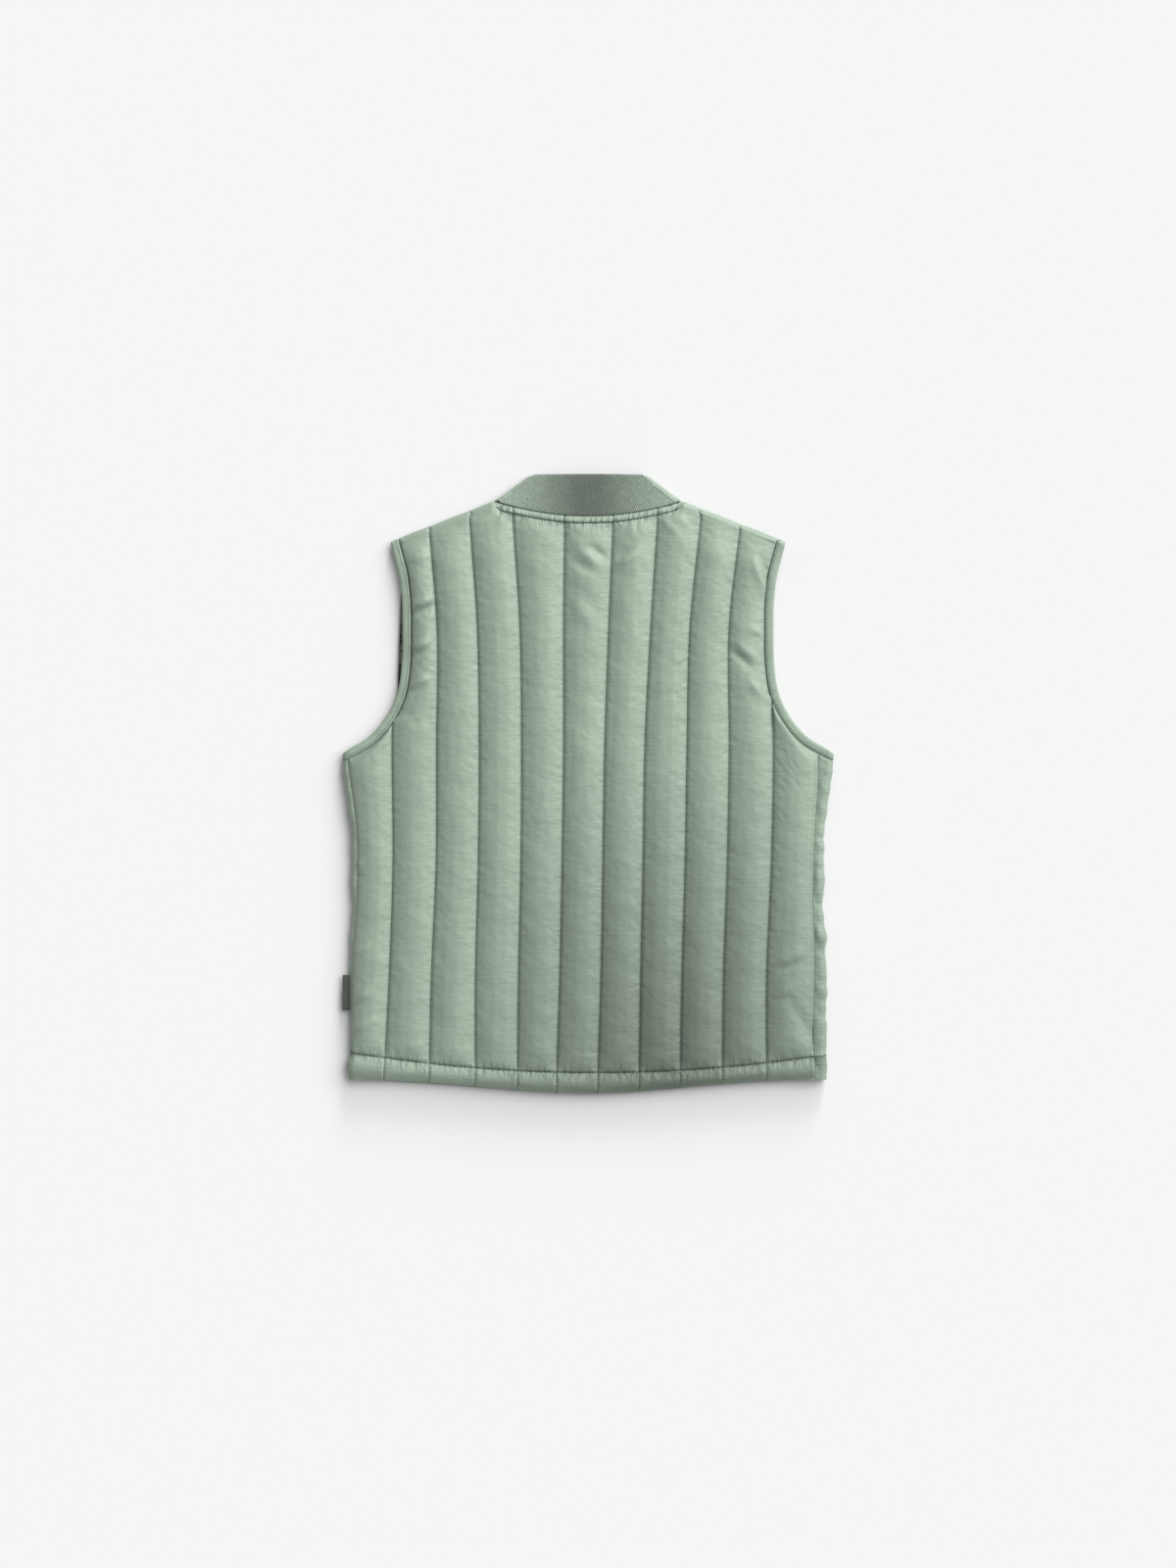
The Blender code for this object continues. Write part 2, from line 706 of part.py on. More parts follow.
def make_front(name, sign, material):
    """A front panel: its overlap, its flat part, and its side, which wraps up to the seam on top."""
    line = 1 if sign < 0 else LAST_LINE
    junction = LEFT_JUNCTION if sign < 0 else RIGHT_JUNCTION
    tops, shares = front_columns()
    lap = lap_columns(sign)
    seam, junction_arc = junction_arcs(sign)
    rows = []
    for row in range(BODY_ROWS):
        places = []
        for half, low, high in lap:
            height = body_heights(sign * half, FRONT_JUNCTION)[row]
            top = high or front_top(half, height)
            places.append(flat_front(sign * half, height, low, top))
        for share in shares:
            nominal = sign * mix(LAP, tops[-1], share)
            height = body_heights(nominal, mix(FRONT_JUNCTION, junction, share))[row]
            outer = abs(quilt_x(line, height))
            if row == JUNCTION_ROW:
                outer = armhole_point(along_at_height(junction), BAND_INNER).x
            x = sign * mix(LAP, outer, share)
            places.append(flat_front(x, height, 0.0, front_top(x, height)))
        for arc in side_arcs(junction_arc, seam - 2.0 * seam_half_gap(sign)):
            places.append(front_side_place(sign, line, arc, row, junction_arc, seam))
        rows.append(places)
    flat = len(lap) + len(shares)
    for step in (*UPPER_STEPS, *range(len(FOLD_ANGLES))):
        rows.append(front_upper_row(sign, junction, tops, shares, step))

    def kept(row, column):
        return row < JUNCTION_ROW or column < flat - 1

    return link(name, rows, kept, material)


def side_arcs(junction_arc, seam):
    """Arc distances of the columns from the line under the armhole round to the side seam."""
    flat = [mix(-junction_arc, -QUARTER, (k + 1) / SIDE_COLUMNS) for k in range(SIDE_COLUMNS)]
    return [*flat, *(mix(-QUARTER, seam, (k + 1) / FOLD_COLUMNS) for k in range(FOLD_COLUMNS))]


def front_side_place(sign, line, arc, row, junction_arc, seam):
    """A place on the side of a front, below the armhole or round the fold."""
    point = armhole_point(along_at_inset(inset_of_arc(arc)), BAND_INNER)
    if row == JUNCTION_ROW:
        turned = arc_of_inset(inset_of(point), 1) if arc > 0 else arc_of_inset(inset_of(point), -1)
        return wrap_place(sign, turned, point.y)
    edge_x = sign * (SIDE_ROWS[0].half_width - 5.0)
    height = body_heights(edge_x, point.y)[row]
    here = seam_arc(sign, height) - seam_half_gap(sign)
    if arc > -QUARTER:
        share = (arc + QUARTER) / (seam - 2.0 * seam_half_gap(sign) + QUARTER)
        return wrap_place(sign, mix(-QUARTER, here, share), height)
    half = half_width(min(height, SIDE_ROWS[-1].height))
    line_arc = arc_of_inset(half - abs(quilt_x(line, height)), -1)
    share = (arc + QUARTER) / (QUARTER - junction_arc)
    return wrap_place(sign, mix(-QUARTER, line_arc, share), height)


def wrap_place(sign, arc, height):
    """A place round the side of a front: flat under it, round the fold, and flat again on top."""
    if arc > -QUARTER:
        return on_side(sign, arc, height, SIDE_FOLD + SIDE_FOLD - WALL, WALL)
    x = sign * (half_width(min(height, SIDE_ROWS[-1].height)) - inset_of_arc(arc))
    return flat_front(x, height, 0.0, front_top(x, height))


def front_upper_row(sign, junction, tops, shares, step):
    """A row of a front above the junction: towards the neck, the shoulder and round its fold."""
    folded = isinstance(step, int)
    places = []
    for half, low, high in lap_columns(sign):
        seam = front_neck(half) - HALF_GAP
        height = seam - STRIP * STRIP_STEPS[step] if folded else mix(FRONT_JUNCTION, seam - STRIP, step)
        top = high or front_top(half, height)
        places.append(flat_front(sign * half, height, low, top))
    along = mix(along_at_height(junction), ARM_LENGTH - TIP_FOLD, 1.0 if folded else step)
    edge = armhole_point(along, BAND_INNER)
    for share, top_half in zip(shares, tops, strict=True):
        if folded and top_half > SHOULDER_NECK[0]:
            places.append(on_shoulder(sign, top_half, -FOLD_ANGLES[step], WALL))
            continue
        low_half = mix(LAP, armhole_point(along_at_height(junction), BAND_INNER).x, share)
        low = mix(FRONT_JUNCTION, junction, share)
        if top_half > SHOULDER_NECK[0]:
            top = on_shoulder(1, top_half, FOLD_ANGLES[0], 0.0).inside
            half, height = mix(low_half, top[0], step), mix(low, top[1], step)
        elif folded:
            half, height = top_half, front_neck(top_half) - HALF_GAP - STRIP * STRIP_STEPS[step]
        else:
            top = front_neck(top_half) - HALF_GAP - STRIP
            half, height = mix(low_half, top_half, step), mix(low, top, step)
        if share == shares[-1]:
            half, height = edge.x, edge.y
        places.append(flat_front(sign * half, height, 0.0, front_top(half, height)))
    return places + [places[-1]] * (SIDE_COLUMNS + FOLD_COLUMNS)


# The bindings round the armholes.


def make_binding(name, sign, material):
    """A flat band round the armhole, folded over the shoulder tip and round the underarm."""
    rows = []
    seam, junction_arc = junction_arcs(sign)
    start = along_at_height(LEFT_JUNCTION if sign < 0 else RIGHT_JUNCTION)
    up = [mix(start, ARM_LENGTH - TIP_FOLD, step) for step in (*UPPER_STEPS, 1.0)]
    rows += [band_row(sign, along, 1) for along in up]
    rows += [tip_row(sign, angle) for angle in FOLD_ANGLES[1:]]
    rows += [tip_row(sign, -angle) for angle in reversed(FOLD_ANGLES[1:])]
    rows += [band_row(sign, along, -1) for along in (*reversed(up), start)]
    for arc in side_arcs(junction_arc, seam - 2.0 * seam_half_gap(sign)):
        rows.append(band_row(sign, along_at_inset(inset_of_arc(arc)), math.copysign(1.0, arc)))
    rows += [band_row(sign, along, 1) for along in sorted(channel_along(sign, 1.0 - s) for s in SIDE_STEPS)]
    rows.append(rows[0])
    return link(name, rows, lambda row, column: True, material, closed=True)


BAND_SHARES = (0.0, 0.5, 0.86, 1.0)


def band_thickness(share):
    return WALL if share < 0.99 else 0.55 * WALL


def band_row(sign, along, side):
    """The places across the band at a length along the armhole, on top or below."""
    places = []
    for share in BAND_SHARES:
        point = armhole_point(along, BINDING * (1.0 - share))
        arc = arc_of_inset(inset_of(point), side) if point.y < 40.0 else side * 2.0 * QUARTER
        thickness = band_thickness(share)
        if abs(arc) < QUARTER:
            places.append(on_side(sign, arc, point.y, 0.0, thickness))
        elif side > 0:
            level = armhole_inside(along)
            places.append(Place((sign * point.x, point.y, level), (0.0, 0.0, 1.0), thickness))
        else:
            places.append(flat_front(sign * point.x, point.y, WALL - thickness, WALL))
    return places


def tip_row(sign, angle):
    """The places across the band on its fold over the shoulder tip."""
    run = -SHOULDER_RUN.x / SHOULDER_RUN.length
    halves = [SHOULDER_TIP[0] - BINDING * (1.0 - share) * run for share in BAND_SHARES]
    return [
        on_shoulder(sign, half, angle, band_thickness(share))
        for half, share in zip(halves, BAND_SHARES, strict=True)
    ]


# The collar, the tab and the press studs.


COLLAR_SHARES = (0.0, 0.3, 0.6, 0.85, 0.96, 1.0)
COLLAR_FOLD_ANGLES = tuple(math.radians(angle) for angle in (-60.0, -30.0, 0.0, 30.0, 60.0))
BACK_COLLAR_SHARES = (1.0, 0.86, 0.68, 0.48, 0.24, 0.0)


def collar_station(sign, foot, head, outward):
    """The places up the collar from its seam to its top edge."""
    places = []
    for share in COLLAR_SHARES:
        middle = Vector(foot).lerp(Vector(head), share)
        wall = COLLAR_WALL if share < 0.99 else 0.5 * COLLAR_WALL
        out = Vector(outward)
        inside = middle - 0.5 * wall * out
        places.append(
            Place((sign * inside.x, inside.y, inside.z), (sign * out.x, out.y, out.z), wall)
        )
    return places


def half_collar(sign):
    """One side's stations, from the centre front round the fold to the centre back."""
    middle = NECK_FOLD - 0.5 * COLLAR_WALL
    stations = []
    corner = Vector(COLLAR_CORNER) - NECK_FOLD * NECK_OUT
    for angle in (*NECK_ANGLES, 0.0):
        x = NECK_START[0] * math.cos(angle) if angle < 1.5 else HALF_GAP
        foot = (x, front_neck(x) + HALF_GAP, 0.5 * COLLAR_WALL)
        if angle == 0.0:
            foot = (NECK_START[0] - HALF_GAP, NECK_START[1], 0.5 * COLLAR_WALL)
        top_x = max(corner.x * math.cos(angle), HALF_GAP)
        head = (top_x, corner.y - COLLAR_FRONT_DROP * math.sin(angle), 0.5 * COLLAR_WALL)
        stations.append(collar_station(sign, foot, head, (0.0, 0.0, -1.0)))
    upwards = (Vector(COLLAR_CORNER) - Vector(SHOULDER_NECK)).normalized()
    for angle in COLLAR_FOLD_ANGLES:
        turn = NECK_OUT * (middle * math.cos(angle))
        step = max(math.sin(angle), 0.0) * CORNER_STEP + CORNER_GAP * math.cos(angle)
        base = Vector(NECK_START) + turn + step * upwards
        top = corner + turn
        rise = NECK_FOLD + middle * math.sin(angle)
        out = NECK_OUT * math.cos(angle)
        stations.append(
            collar_station(sign, (*base, rise), (*top, rise), (out.x, out.y, math.sin(angle)))
        )
    for share in BACK_COLLAR_SHARES:
        x = share * CORNER.x
        arch = math.cos(0.5 * math.pi * share)
        foot = (x, back_neck(x) + HALF_GAP, NECK_FOLD + middle + COLLAR_SEAM_ARCH * arch)
        top_y = mix(COLLAR_TOP, corner.y, smooth_step((share - 0.86) / 0.14))
        head = (share * corner.x, top_y, NECK_FOLD + middle + COLLAR_ARCH * arch)
        stations.append(collar_station(sign, foot, head, (0.0, 0.0, 1.0)))
    return stations


def make_collar(material):
    right = half_collar(1)
    left = half_collar(-1)
    rows = right + list(reversed(left[:-1]))
    return link("collar", rows, lambda row, column: True, material)


def make_tab(material):
    """The bare tab that sticks out of the left side seam."""
    low, high, reach, thick = -161.5, -136.5, 5.0, 1.0
    inner = half_width(0.5 * (low + high)) + 0.3
    bm = bmesh.new()
    bmesh.ops.create_cube(bm, size=1.0)
    bmesh.ops.scale(bm, vec=(reach * MM, (high - low) * MM, thick * MM), verts=list(bm.verts))
    place = Vector((-(inner + 0.5 * reach), 0.5 * (low + high), SIDE_FOLD)) * MM
    bmesh.ops.translate(bm, vec=place, verts=list(bm.verts))
    bmesh.ops.bevel(
        bm,
        geom=list(bm.edges),
        offset=0.3 * MM,
        segments=1,
        profile=0.5,
        affect="EDGES",
        material=-1,
    )
    return finish("side_label", bm, material)


def make_snap(number, height, material):
    """The cap of a press stud, let into the thin overlap so that it rests with the cloth."""
    bm = bmesh.new()
    bmesh.ops.create_cone(
        bm,
        cap_ends=True,
        segments=24,
        radius1=(SNAP_RADIUS - SNAP_CHAMFER) * MM,
        radius2=SNAP_RADIUS * MM,
        depth=SNAP_DEPTH * MM,
    )
    bmesh.ops.translate(bm, vec=Vector((0.0, height, 0.5 * SNAP_DEPTH)) * MM, verts=list(bm.verts))
    return finish(f"snap_cap_{number}", bm, material)


def main():
    for piece in list(bpy.data.objects):
        bpy.data.objects.remove(piece, do_unlink=True)
    shell = make_material("shell_fabric", (0.30, 0.37, 0.29), 0.5)
    rib = make_material("rib_knit", (0.17, 0.23, 0.17), 0.9)
    tape = make_material("label_tape", (0.09, 0.10, 0.09), 0.8)
    stud = make_material("stud_metal", (0.25, 0.30, 0.25), 0.35, 0.0)
    make_back(shell)
    for name, sign in (("left", -1), ("right", 1)):
        make_front(f"front_{name}", sign, shell)
        make_binding(f"armhole_binding_{name}", sign, shell)
    make_collar(rib)
    make_tab(tape)
    for number, height in enumerate(SNAP_HEIGHTS, start=1):
        make_snap(number, height, stud)


main()
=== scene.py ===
"""A child's padded thermal vest, lying flat and face down on a pale floor.

The back panel, quilted in long channels, is inflated by a short cloth run and then creased. The two
fronts, the rib collar, the armhole bindings, the bare tab, the press studs and the rows of stitches
are pieces of their own. Sizes are in millimetres until a mesh is written, in metres. +X is to the right,
+Y towards the neck and +Z up.
"""

import logging
import math
from collections.abc import Iterator, Sequence
from dataclasses import dataclass, field
from enum import Enum

import bmesh
import bpy
import numpy as np
from mathutils import Matrix, Vector

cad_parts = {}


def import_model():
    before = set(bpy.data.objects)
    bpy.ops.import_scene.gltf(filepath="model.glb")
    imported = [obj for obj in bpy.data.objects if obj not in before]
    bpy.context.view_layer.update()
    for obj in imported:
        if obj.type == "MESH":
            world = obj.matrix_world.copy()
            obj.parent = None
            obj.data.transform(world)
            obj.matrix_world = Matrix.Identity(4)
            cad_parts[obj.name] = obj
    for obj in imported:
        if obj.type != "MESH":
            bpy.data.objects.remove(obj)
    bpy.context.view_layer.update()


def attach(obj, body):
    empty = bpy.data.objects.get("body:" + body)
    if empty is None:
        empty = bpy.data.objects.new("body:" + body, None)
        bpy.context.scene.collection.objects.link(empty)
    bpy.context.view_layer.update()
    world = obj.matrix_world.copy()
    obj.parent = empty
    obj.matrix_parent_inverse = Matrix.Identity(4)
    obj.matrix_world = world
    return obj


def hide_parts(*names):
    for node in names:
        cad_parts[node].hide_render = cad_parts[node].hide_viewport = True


Array = np.ndarray
Socket = bpy.types.NodeSocket
# The places, the directions out and the thicknesses along one column or row of a wall.
Column = tuple[Array, Array, Array]
# A channel and a share across it for each column.
Columns = list[tuple[int, float]]
# Points along each row of stitches, with the directions out of the cloth there.
Paths = list[tuple[Array, Array]]
LOG = logging.getLogger("vest")

MM = 0.001
HALF_GAP = 0.17
UP = (0.0, 0.0, 1.0)
DOWN = (0.0, 0.0, -1.0)
# The thinnest that the back's cloth gets, and how high the bindings stay over the floor.
THINNEST = 0.3
CLEARANCE = 0.02
# Stands for places that are far from every line.
FAR_OFF = 99.0

# Walls and folds, as the solids in the frame have them.
WALL = 2.6
SIDE_FOLD = 4.0
NECK_FOLD = 3.6
TIP_FOLD = 2.9
QUARTER = 0.5 * math.pi * SIDE_FOLD
FRONT_TOP = 4.2
BACK_INSIDE = 5.2
RAMP = 30.0
STITCHED = 1.8
CROWN = 4.3
CROWN_POWER = 2.3
BINDING = 6.0
STRIP = 5.0
BAND_INNER = BINDING + 2.0 * HALF_GAP
BAND_EDGE = 0.8

SHOULDER_TIP = np.array((141.5, 173.0))
SHOULDER_NECK = np.array((68.25, 201.6))
COLLAR_CORNER = np.array((41.3, 221.2))
FRONT_NECK_DROP = 58.7
CORNER_X = 63.0

# Height, half width, and how far in the left and the right side seams lie.
SIDE_ROWS = (
    (-211.0, 170.6, 0.2, 8.4),
    (-184.8, 169.8, 0.2, 9.0),
    (-142.8, 170.1, 0.7, 8.6),
    (-114.8, 169.4, 1.5, 7.7),
    (-86.8, 168.0, 2.5, 7.5),
    (-58.8, 168.0, 3.2, 7.0),
    (-30.8, 169.0, 3.5, 7.0),
    (-2.8, 172.5, 3.5, 8.6),
    (11.2, 174.6, 3.5, 10.2),
    (22.0, 176.0, 3.5, 11.2),
)
SIDE_TOP = 22.0

# Half width and height on the armhole's outer edge, from the underarm corner to the shoulder tip.
ARMHOLE_POINTS = (
    (176.0, 22.0),
    (170.6, 25.2),
    (156.8, 33.6),
    (148.8, 42.0),
    (143.0, 50.4),
    (138.6, 58.8),
    (135.6, 68.0),
    (133.3, 84.0),
    (132.6, 109.0),
    (133.3, 134.4),
    (135.6, 151.2),
    (138.2, 161.0),
    (141.5, 173.0),
)

# Places of the quilted lines across the back, at these heights.
QUILT_HEIGHTS = (-206.0, -140.0, -56.0, 28.0, 112.0, 188.0)
QUILT_LINES = (
    (-145.6, -142.1, -139.3, -140.0, -139.3, -139.3),
    (-113.4, -112.0, -108.5, -108.2, -107.8, -114.0),
    (-80.5, -80.5, -78.4, -77.7, -79.1, -84.5),
    (-50.4, -49.7, -48.0, -47.6, -48.7, -53.6),
    (-22.4, -20.3, -18.6, -17.5, -17.5, -16.8),
    (7.0, 9.1, 10.5, 11.9, 14.7, 17.9),
    (36.4, 37.5, 39.2, 40.6, 44.8, 49.6),
    (65.8, 66.9, 69.3, 70.7, 72.8, 80.4),
    (95.9, 96.6, 99.4, 100.8, 100.8, 109.2),
    (127.4, 127.4, 130.9, 132.3, 130.2, 130.2),
)
LAST_LINE = len(QUILT_LINES)
# Lines that end further out than this end at an armhole.
ARMHOLE_LINE = 130.0


class Side(Enum):
    """The vest's two sides, as seen from above."""

    LEFT = -1
    RIGHT = 1


# Heights where the outermost quilted lines meet the armholes.
JUNCTION = {Side.LEFT: 45.5, Side.RIGHT: 61.6}


def smooth(value: Array | float) -> Array:
    """Rises from 0 to 1 with level ends."""
    value = np.clip(value, 0.0, 1.0)
    return value * value * (3.0 - 2.0 * value)


def mix(a: Array | float, b: Array | float, share: Array | float) -> Array:
    """Goes from a to b as share goes from 0 to 1."""
    return a + (b - a) * share


def spots(x: Array | float, y: Array | float, z: Array | float) -> Array:
    """Stacks coordinates into points."""
    return np.stack(np.broadcast_arrays(np.asarray(x, float), y, z), axis=-1)


def length(vectors: Array) -> Array:
    """Lengths of vectors, kept as a last axis of one."""
    return np.linalg.norm(vectors, axis=-1, keepdims=True)


def lengths_along(points: Array) -> Array:
    """Lengths along a row of points, from the first one."""
    return np.concatenate([[0.0], np.cumsum(length(np.diff(points, axis=0))[:, 0])])


class SmoothTable:
    """A smooth curve through a table's values."""

    def __init__(self, places: Sequence[float], values: Sequence[float]) -> None:
        """Keeps the table and its slopes.

        Args:
            places: where the values are given, rising.
            values: one value for each place.
        """
        self.places = np.asarray(places, float)
        self.values = np.asarray(values, float)
        self.slopes = np.gradient(self.values, self.places)

    def __call__(self, at: Array | float) -> Array:
        """Reads the curve, which is level past its ends.

        Args:
            at: one place or an array of them.

        Returns:
            The values there.
        """
        k = np.clip(np.searchsorted(self.places, at) - 1, 0, len(self.places) - 2)
        width = self.places[k + 1] - self.places[k]
        s = np.clip((at - self.places[k]) / width, 0.0, 1.0)
        start, end = self.values[k], self.values[k + 1]
        rise = (1 + 2 * s) * (1 - s) ** 2 * start + s * s * (3 - 2 * s) * end
        bend = s * (1 - s) ** 2 * self.slopes[k] + s * s * (s - 1) * self.slopes[k + 1]
        return rise + width * bend


class Cut:
    """The vest's outline, seams and quilted lines, as the solids in the frame have them."""

    def __init__(self) -> None:
        """Reads the tables, and samples the armhole band for looking places up."""
        heights, halves, left, right = np.array(SIDE_ROWS).T
        self.half_width = SmoothTable(heights, halves)
        self.inset = {Side.LEFT: SmoothTable(heights, left), Side.RIGHT: SmoothTable(heights, right)}
        self.lines = [SmoothTable(QUILT_HEIGHTS, line) for line in QUILT_LINES]
        edge = np.array(ARMHOLE_POINTS)
        along = lengths_along(edge)
        self.arm_length = float(along[-1])
        self.arm_x = SmoothTable(along, edge[:, 0])
        self.arm_y = SmoothTable(along, edge[:, 1])
        self.band_samples = np.linspace(0.0, 80.0, 161)
        band = self.armhole(self.band_samples, BAND_INNER)
        self.band_insets = np.maximum.accumulate(self.inset_of(band))
        self.band_heights = band[:, 1]
        self.arm_samples = np.linspace(0.0, self.arm_length, 200)
        self.arm_heights = self.armhole(self.arm_samples, BINDING)[:, 1]
        run = SHOULDER_NECK - SHOULDER_TIP
        self.shoulder_run = run
        self.shoulder_out = np.array((run[1], -run[0])) / math.hypot(*run)
        self.shoulder_lean = -run[0] / math.hypot(*run)
        self.tip = float(SHOULDER_TIP[0] - BAND_INNER * self.shoulder_lean)
        out = np.array((COLLAR_CORNER[1] - SHOULDER_NECK[1], SHOULDER_NECK[0] - COLLAR_CORNER[0]))
        self.neck_out = out / math.hypot(*out)
        self.neck_start = SHOULDER_NECK - NECK_FOLD * self.neck_out

    def armhole(self, along: Array | float, inwards: Array | float) -> Array:
        """Points on the armhole band.

        Args:
            along: lengths along its outer edge, from the underarm corner.
            inwards: how far in from that edge.

        Returns:
            Half widths and heights. The band runs down the side at first.
        """
        along = np.asarray(along, float)
        before, after = np.maximum(along - 1.0, 0.0), np.minimum(along + 1.0, self.arm_length)
        ahead = np.stack(
            [self.arm_x(after) - self.arm_x(before), self.arm_y(after) - self.arm_y(before)], axis=-1
        )
        ahead /= length(ahead)
        turn = smooth(along / 9.0)[..., None]
        inward = mix(np.array((0.0, -1.0)), np.stack([-ahead[..., 1], ahead[..., 0]], axis=-1), turn)
        inward /= length(inward)
        edge = np.stack([self.arm_x(along), self.arm_y(along)], axis=-1)
        return edge + np.asarray(inwards, float)[..., None] * inward

    def outermost(self, side: Side) -> SmoothTable:
        """The quilted line nearest to a side."""
        return self.lines[0 if side is Side.LEFT else LAST_LINE - 1]

    def inset_of(self, point: Array) -> Array:
        """How far points of the armhole band lie in from the side silhouette."""
        half = self.half_width(np.minimum(point[..., 1], SIDE_TOP))
        return np.maximum(half - point[..., 0], 0.0)

    def along_at_inset(self, inset: Array | float) -> Array:
        """Length along the armhole where its band lies so far in."""
        return np.interp(inset, self.band_insets, self.band_samples)

    def along_at_height(self, height: Array | float) -> Array:
        """Length along the armhole where its band's inner edge is at a height."""
        return np.interp(height, self.band_heights, self.band_samples)

    def seam_arc(self, side: Side, height: Array | float) -> Array:
        """Arc distance of the side seam round the fold."""
        return arc_of_inset(self.inset[side](height), 1.0)

    def armhole_inside(self, along: Array | float) -> Array:
        """Height of the back's inside along the armhole, which sinks away from the underarm."""
        return mix(2 * SIDE_FOLD - WALL, 2 * TIP_FOLD - WALL, smooth(np.asarray(along) / 50.0))

    def shoulder_radius(self, half: Array | float) -> Array:
        """Radius of the fold over the shoulder, which grows from the tip to the neck."""
        share = (SHOULDER_TIP[0] - half) / (SHOULDER_TIP[0] - SHOULDER_NECK[0])
        return mix(TIP_FOLD, NECK_FOLD, np.clip(share, 0.0, 1.0))

    def shoulder_edge(self, half: Array | float) -> Array:
        """Height of the shoulder's flat part where its fold begins."""
        return self.on_shoulder(1.0, half, 0.5 * math.pi)[0][..., 1]

    def on_shoulder(self, sign: float, half: Array | float, angle: Array | float) -> tuple[Array, Array]:
        """Places on the inside of the fold over the shoulder.

        Args:
            sign: 1 at the right and -1 at the left.
            half: half widths of the places.
            angle: 90 degrees on top and -90 below, in radians.

        Returns:
            The points on the wall's inside and the directions out of it.
        """
        share = (SHOULDER_TIP[0] - np.asarray(half, float)) / -self.shoulder_run[0]
        edge = SHOULDER_TIP + share[..., None] * self.shoulder_run
        radius = self.shoulder_radius(half)
        back = radius - (radius - WALL) * np.cos(angle)
        flat = edge - self.shoulder_out * back[..., None]
        point = spots(sign * flat[..., 0], flat[..., 1], radius + (radius - WALL) * np.sin(angle))
        out = spots(
            sign * self.shoulder_out[0] * np.cos(angle), self.shoulder_out[1] * np.cos(angle), np.sin(angle)
        )
        return point, np.broadcast_to(out, point.shape)

    def on_side(self, sign: float, arc: Array, height: Array, level: Array) -> tuple[Array, Array]:
        """Places on the inside of the fold round the side, and on the flat beyond it.

        Args:
            sign: 1 at the right and -1 at the left.
            arc: arc distances, positive on top and negative below.
            height: heights along the side.
            level: height of the wall's inside over the floor where it is flat.

        Returns:
            The points on the wall's inside and the directions out of it.
        """
        half = self.half_width(np.minimum(height, SIDE_TOP))
        angle = np.clip(arc, -QUARTER, QUARTER) / SIDE_FOLD
        radius = SIDE_FOLD - WALL
        round_x = half - SIDE_FOLD + radius * np.cos(angle)
        round_z = SIDE_FOLD + radius * np.sin(angle)
        curved = np.abs(arc) < QUARTER
        x = np.where(curved, round_x, half - inset_of_arc(arc))
        z = np.where(curved, round_z, level)
        return spots(sign * x, height, z), spots(sign * np.cos(angle), 0.0 * angle, np.sin(angle))


def arc_of_inset(inset: Array | float, side: float) -> Array:
    """Arc distance round the side fold of a point so far in.

    Args:
        inset: how far in the point lies.
        side: 1 on top and -1 below.

    Returns:
        The arc distance.
    """
    inset = np.asarray(inset, float)
    turned = SIDE_FOLD * np.arccos(np.clip(1.0 - inset / SIDE_FOLD, -1.0, 1.0))
    return side * np.where(inset < SIDE_FOLD, turned, QUARTER + inset - SIDE_FOLD)


def inset_of_arc(arc: Array | float) -> Array:
    """How far in a point at an arc distance round the side fold lies."""
    turned = SIDE_FOLD * (1.0 - np.cos(np.asarray(arc, float) / SIDE_FOLD))
    return np.where(np.abs(arc) < QUARTER, turned, SIDE_FOLD + np.abs(arc) - QUARTER)


def hem_edge(x: Array | float) -> Array:
    """Height of the bottom edge, which dips at the middle."""
    return -210.4 - 10.8 * np.exp(-((np.asarray(x) / 100.0) ** 2))


def hem_stitch(x: Array | float) -> Array:
    """Height of the hem's topstitching."""
    return -206.2 + 13.3 * ((np.asarray(x) - 5.6) / 168.0) ** 2


def back_neck(x: Array | float) -> Array:
    """Height of the collar seam on the back."""
    return 191.5 + 10.5 * (np.asarray(x) / 66.5) ** 2


def crown(share: Array | float) -> Array:
    """The padding's rise at a share of the way across a channel."""
    return CROWN * (1.0 - np.abs(2.0 * np.asarray(share) - 1.0) ** CROWN_POWER)


CUT = Cut()


# Cloth laid out on a grid.


@dataclass
class Wall:
    """A wall laid out on a grid of rows and columns: its inside, its directions out and its outside."""

    inside: Array
    outward: Array
    outside: Array
    valid: Array

    @classmethod
    def raised(cls, inside: Array, outward: Array, thickness: Array, valid: Array) -> "Wall":
        """Makes a wall from its inside and its thickness."""
        return cls(inside, outward, inside + thickness[..., None] * outward, valid)


def halved(values: Array, valid: Array, axis: int) -> Array:
    """Puts a row between each two rows of a grid, on a smooth curve through them.

    Args:
        values: the grid's values, with the rows along axis.
        valid: where the grid is in use.
        axis: 0 or 1.

    Returns:
        The grid with its new rows.
    """
    values, valid = np.moveaxis(values, axis, 0), np.moveaxis(valid, axis, 0)
    middle = 0.5 * (values[:-1] + values[1:])
    curved = (9.0 * (values[1:-2] + values[2:-1]) - values[:-3] - values[3:]) / 16.0
    usable = valid[:-3] & valid[3:]
    while usable.ndim < curved.ndim:
        usable = usable[..., None]
    middle[1:-1] = np.where(usable, curved, middle[1:-1])
    fine = np.empty((2 * len(values) - 1, *values.shape[1:]), values.dtype)
    fine[0::2], fine[1::2] = values, middle
    return np.moveaxis(fine, 0, axis)


def finer(values: Array, valid: Array) -> Array:
    """Doubles a grid both ways.

    Args:
        values: the grid's values.
        valid: where the grid is in use.

    Returns:
        The grid, twice as fine.
    """
    rows = halved(values, valid, 0)
    wide = np.repeat(valid, 2, axis=0)[:-1]
    wide[1:-1:2] = valid[:-1] & valid[1:]
    return halved(rows, wide, 1)


def stacked(parts: Sequence[Column], axis: int) -> Column:
    """Lays columns or rows side by side on a grid."""
    return tuple(np.stack([part[k] for part in parts], axis=axis) for k in range(3))


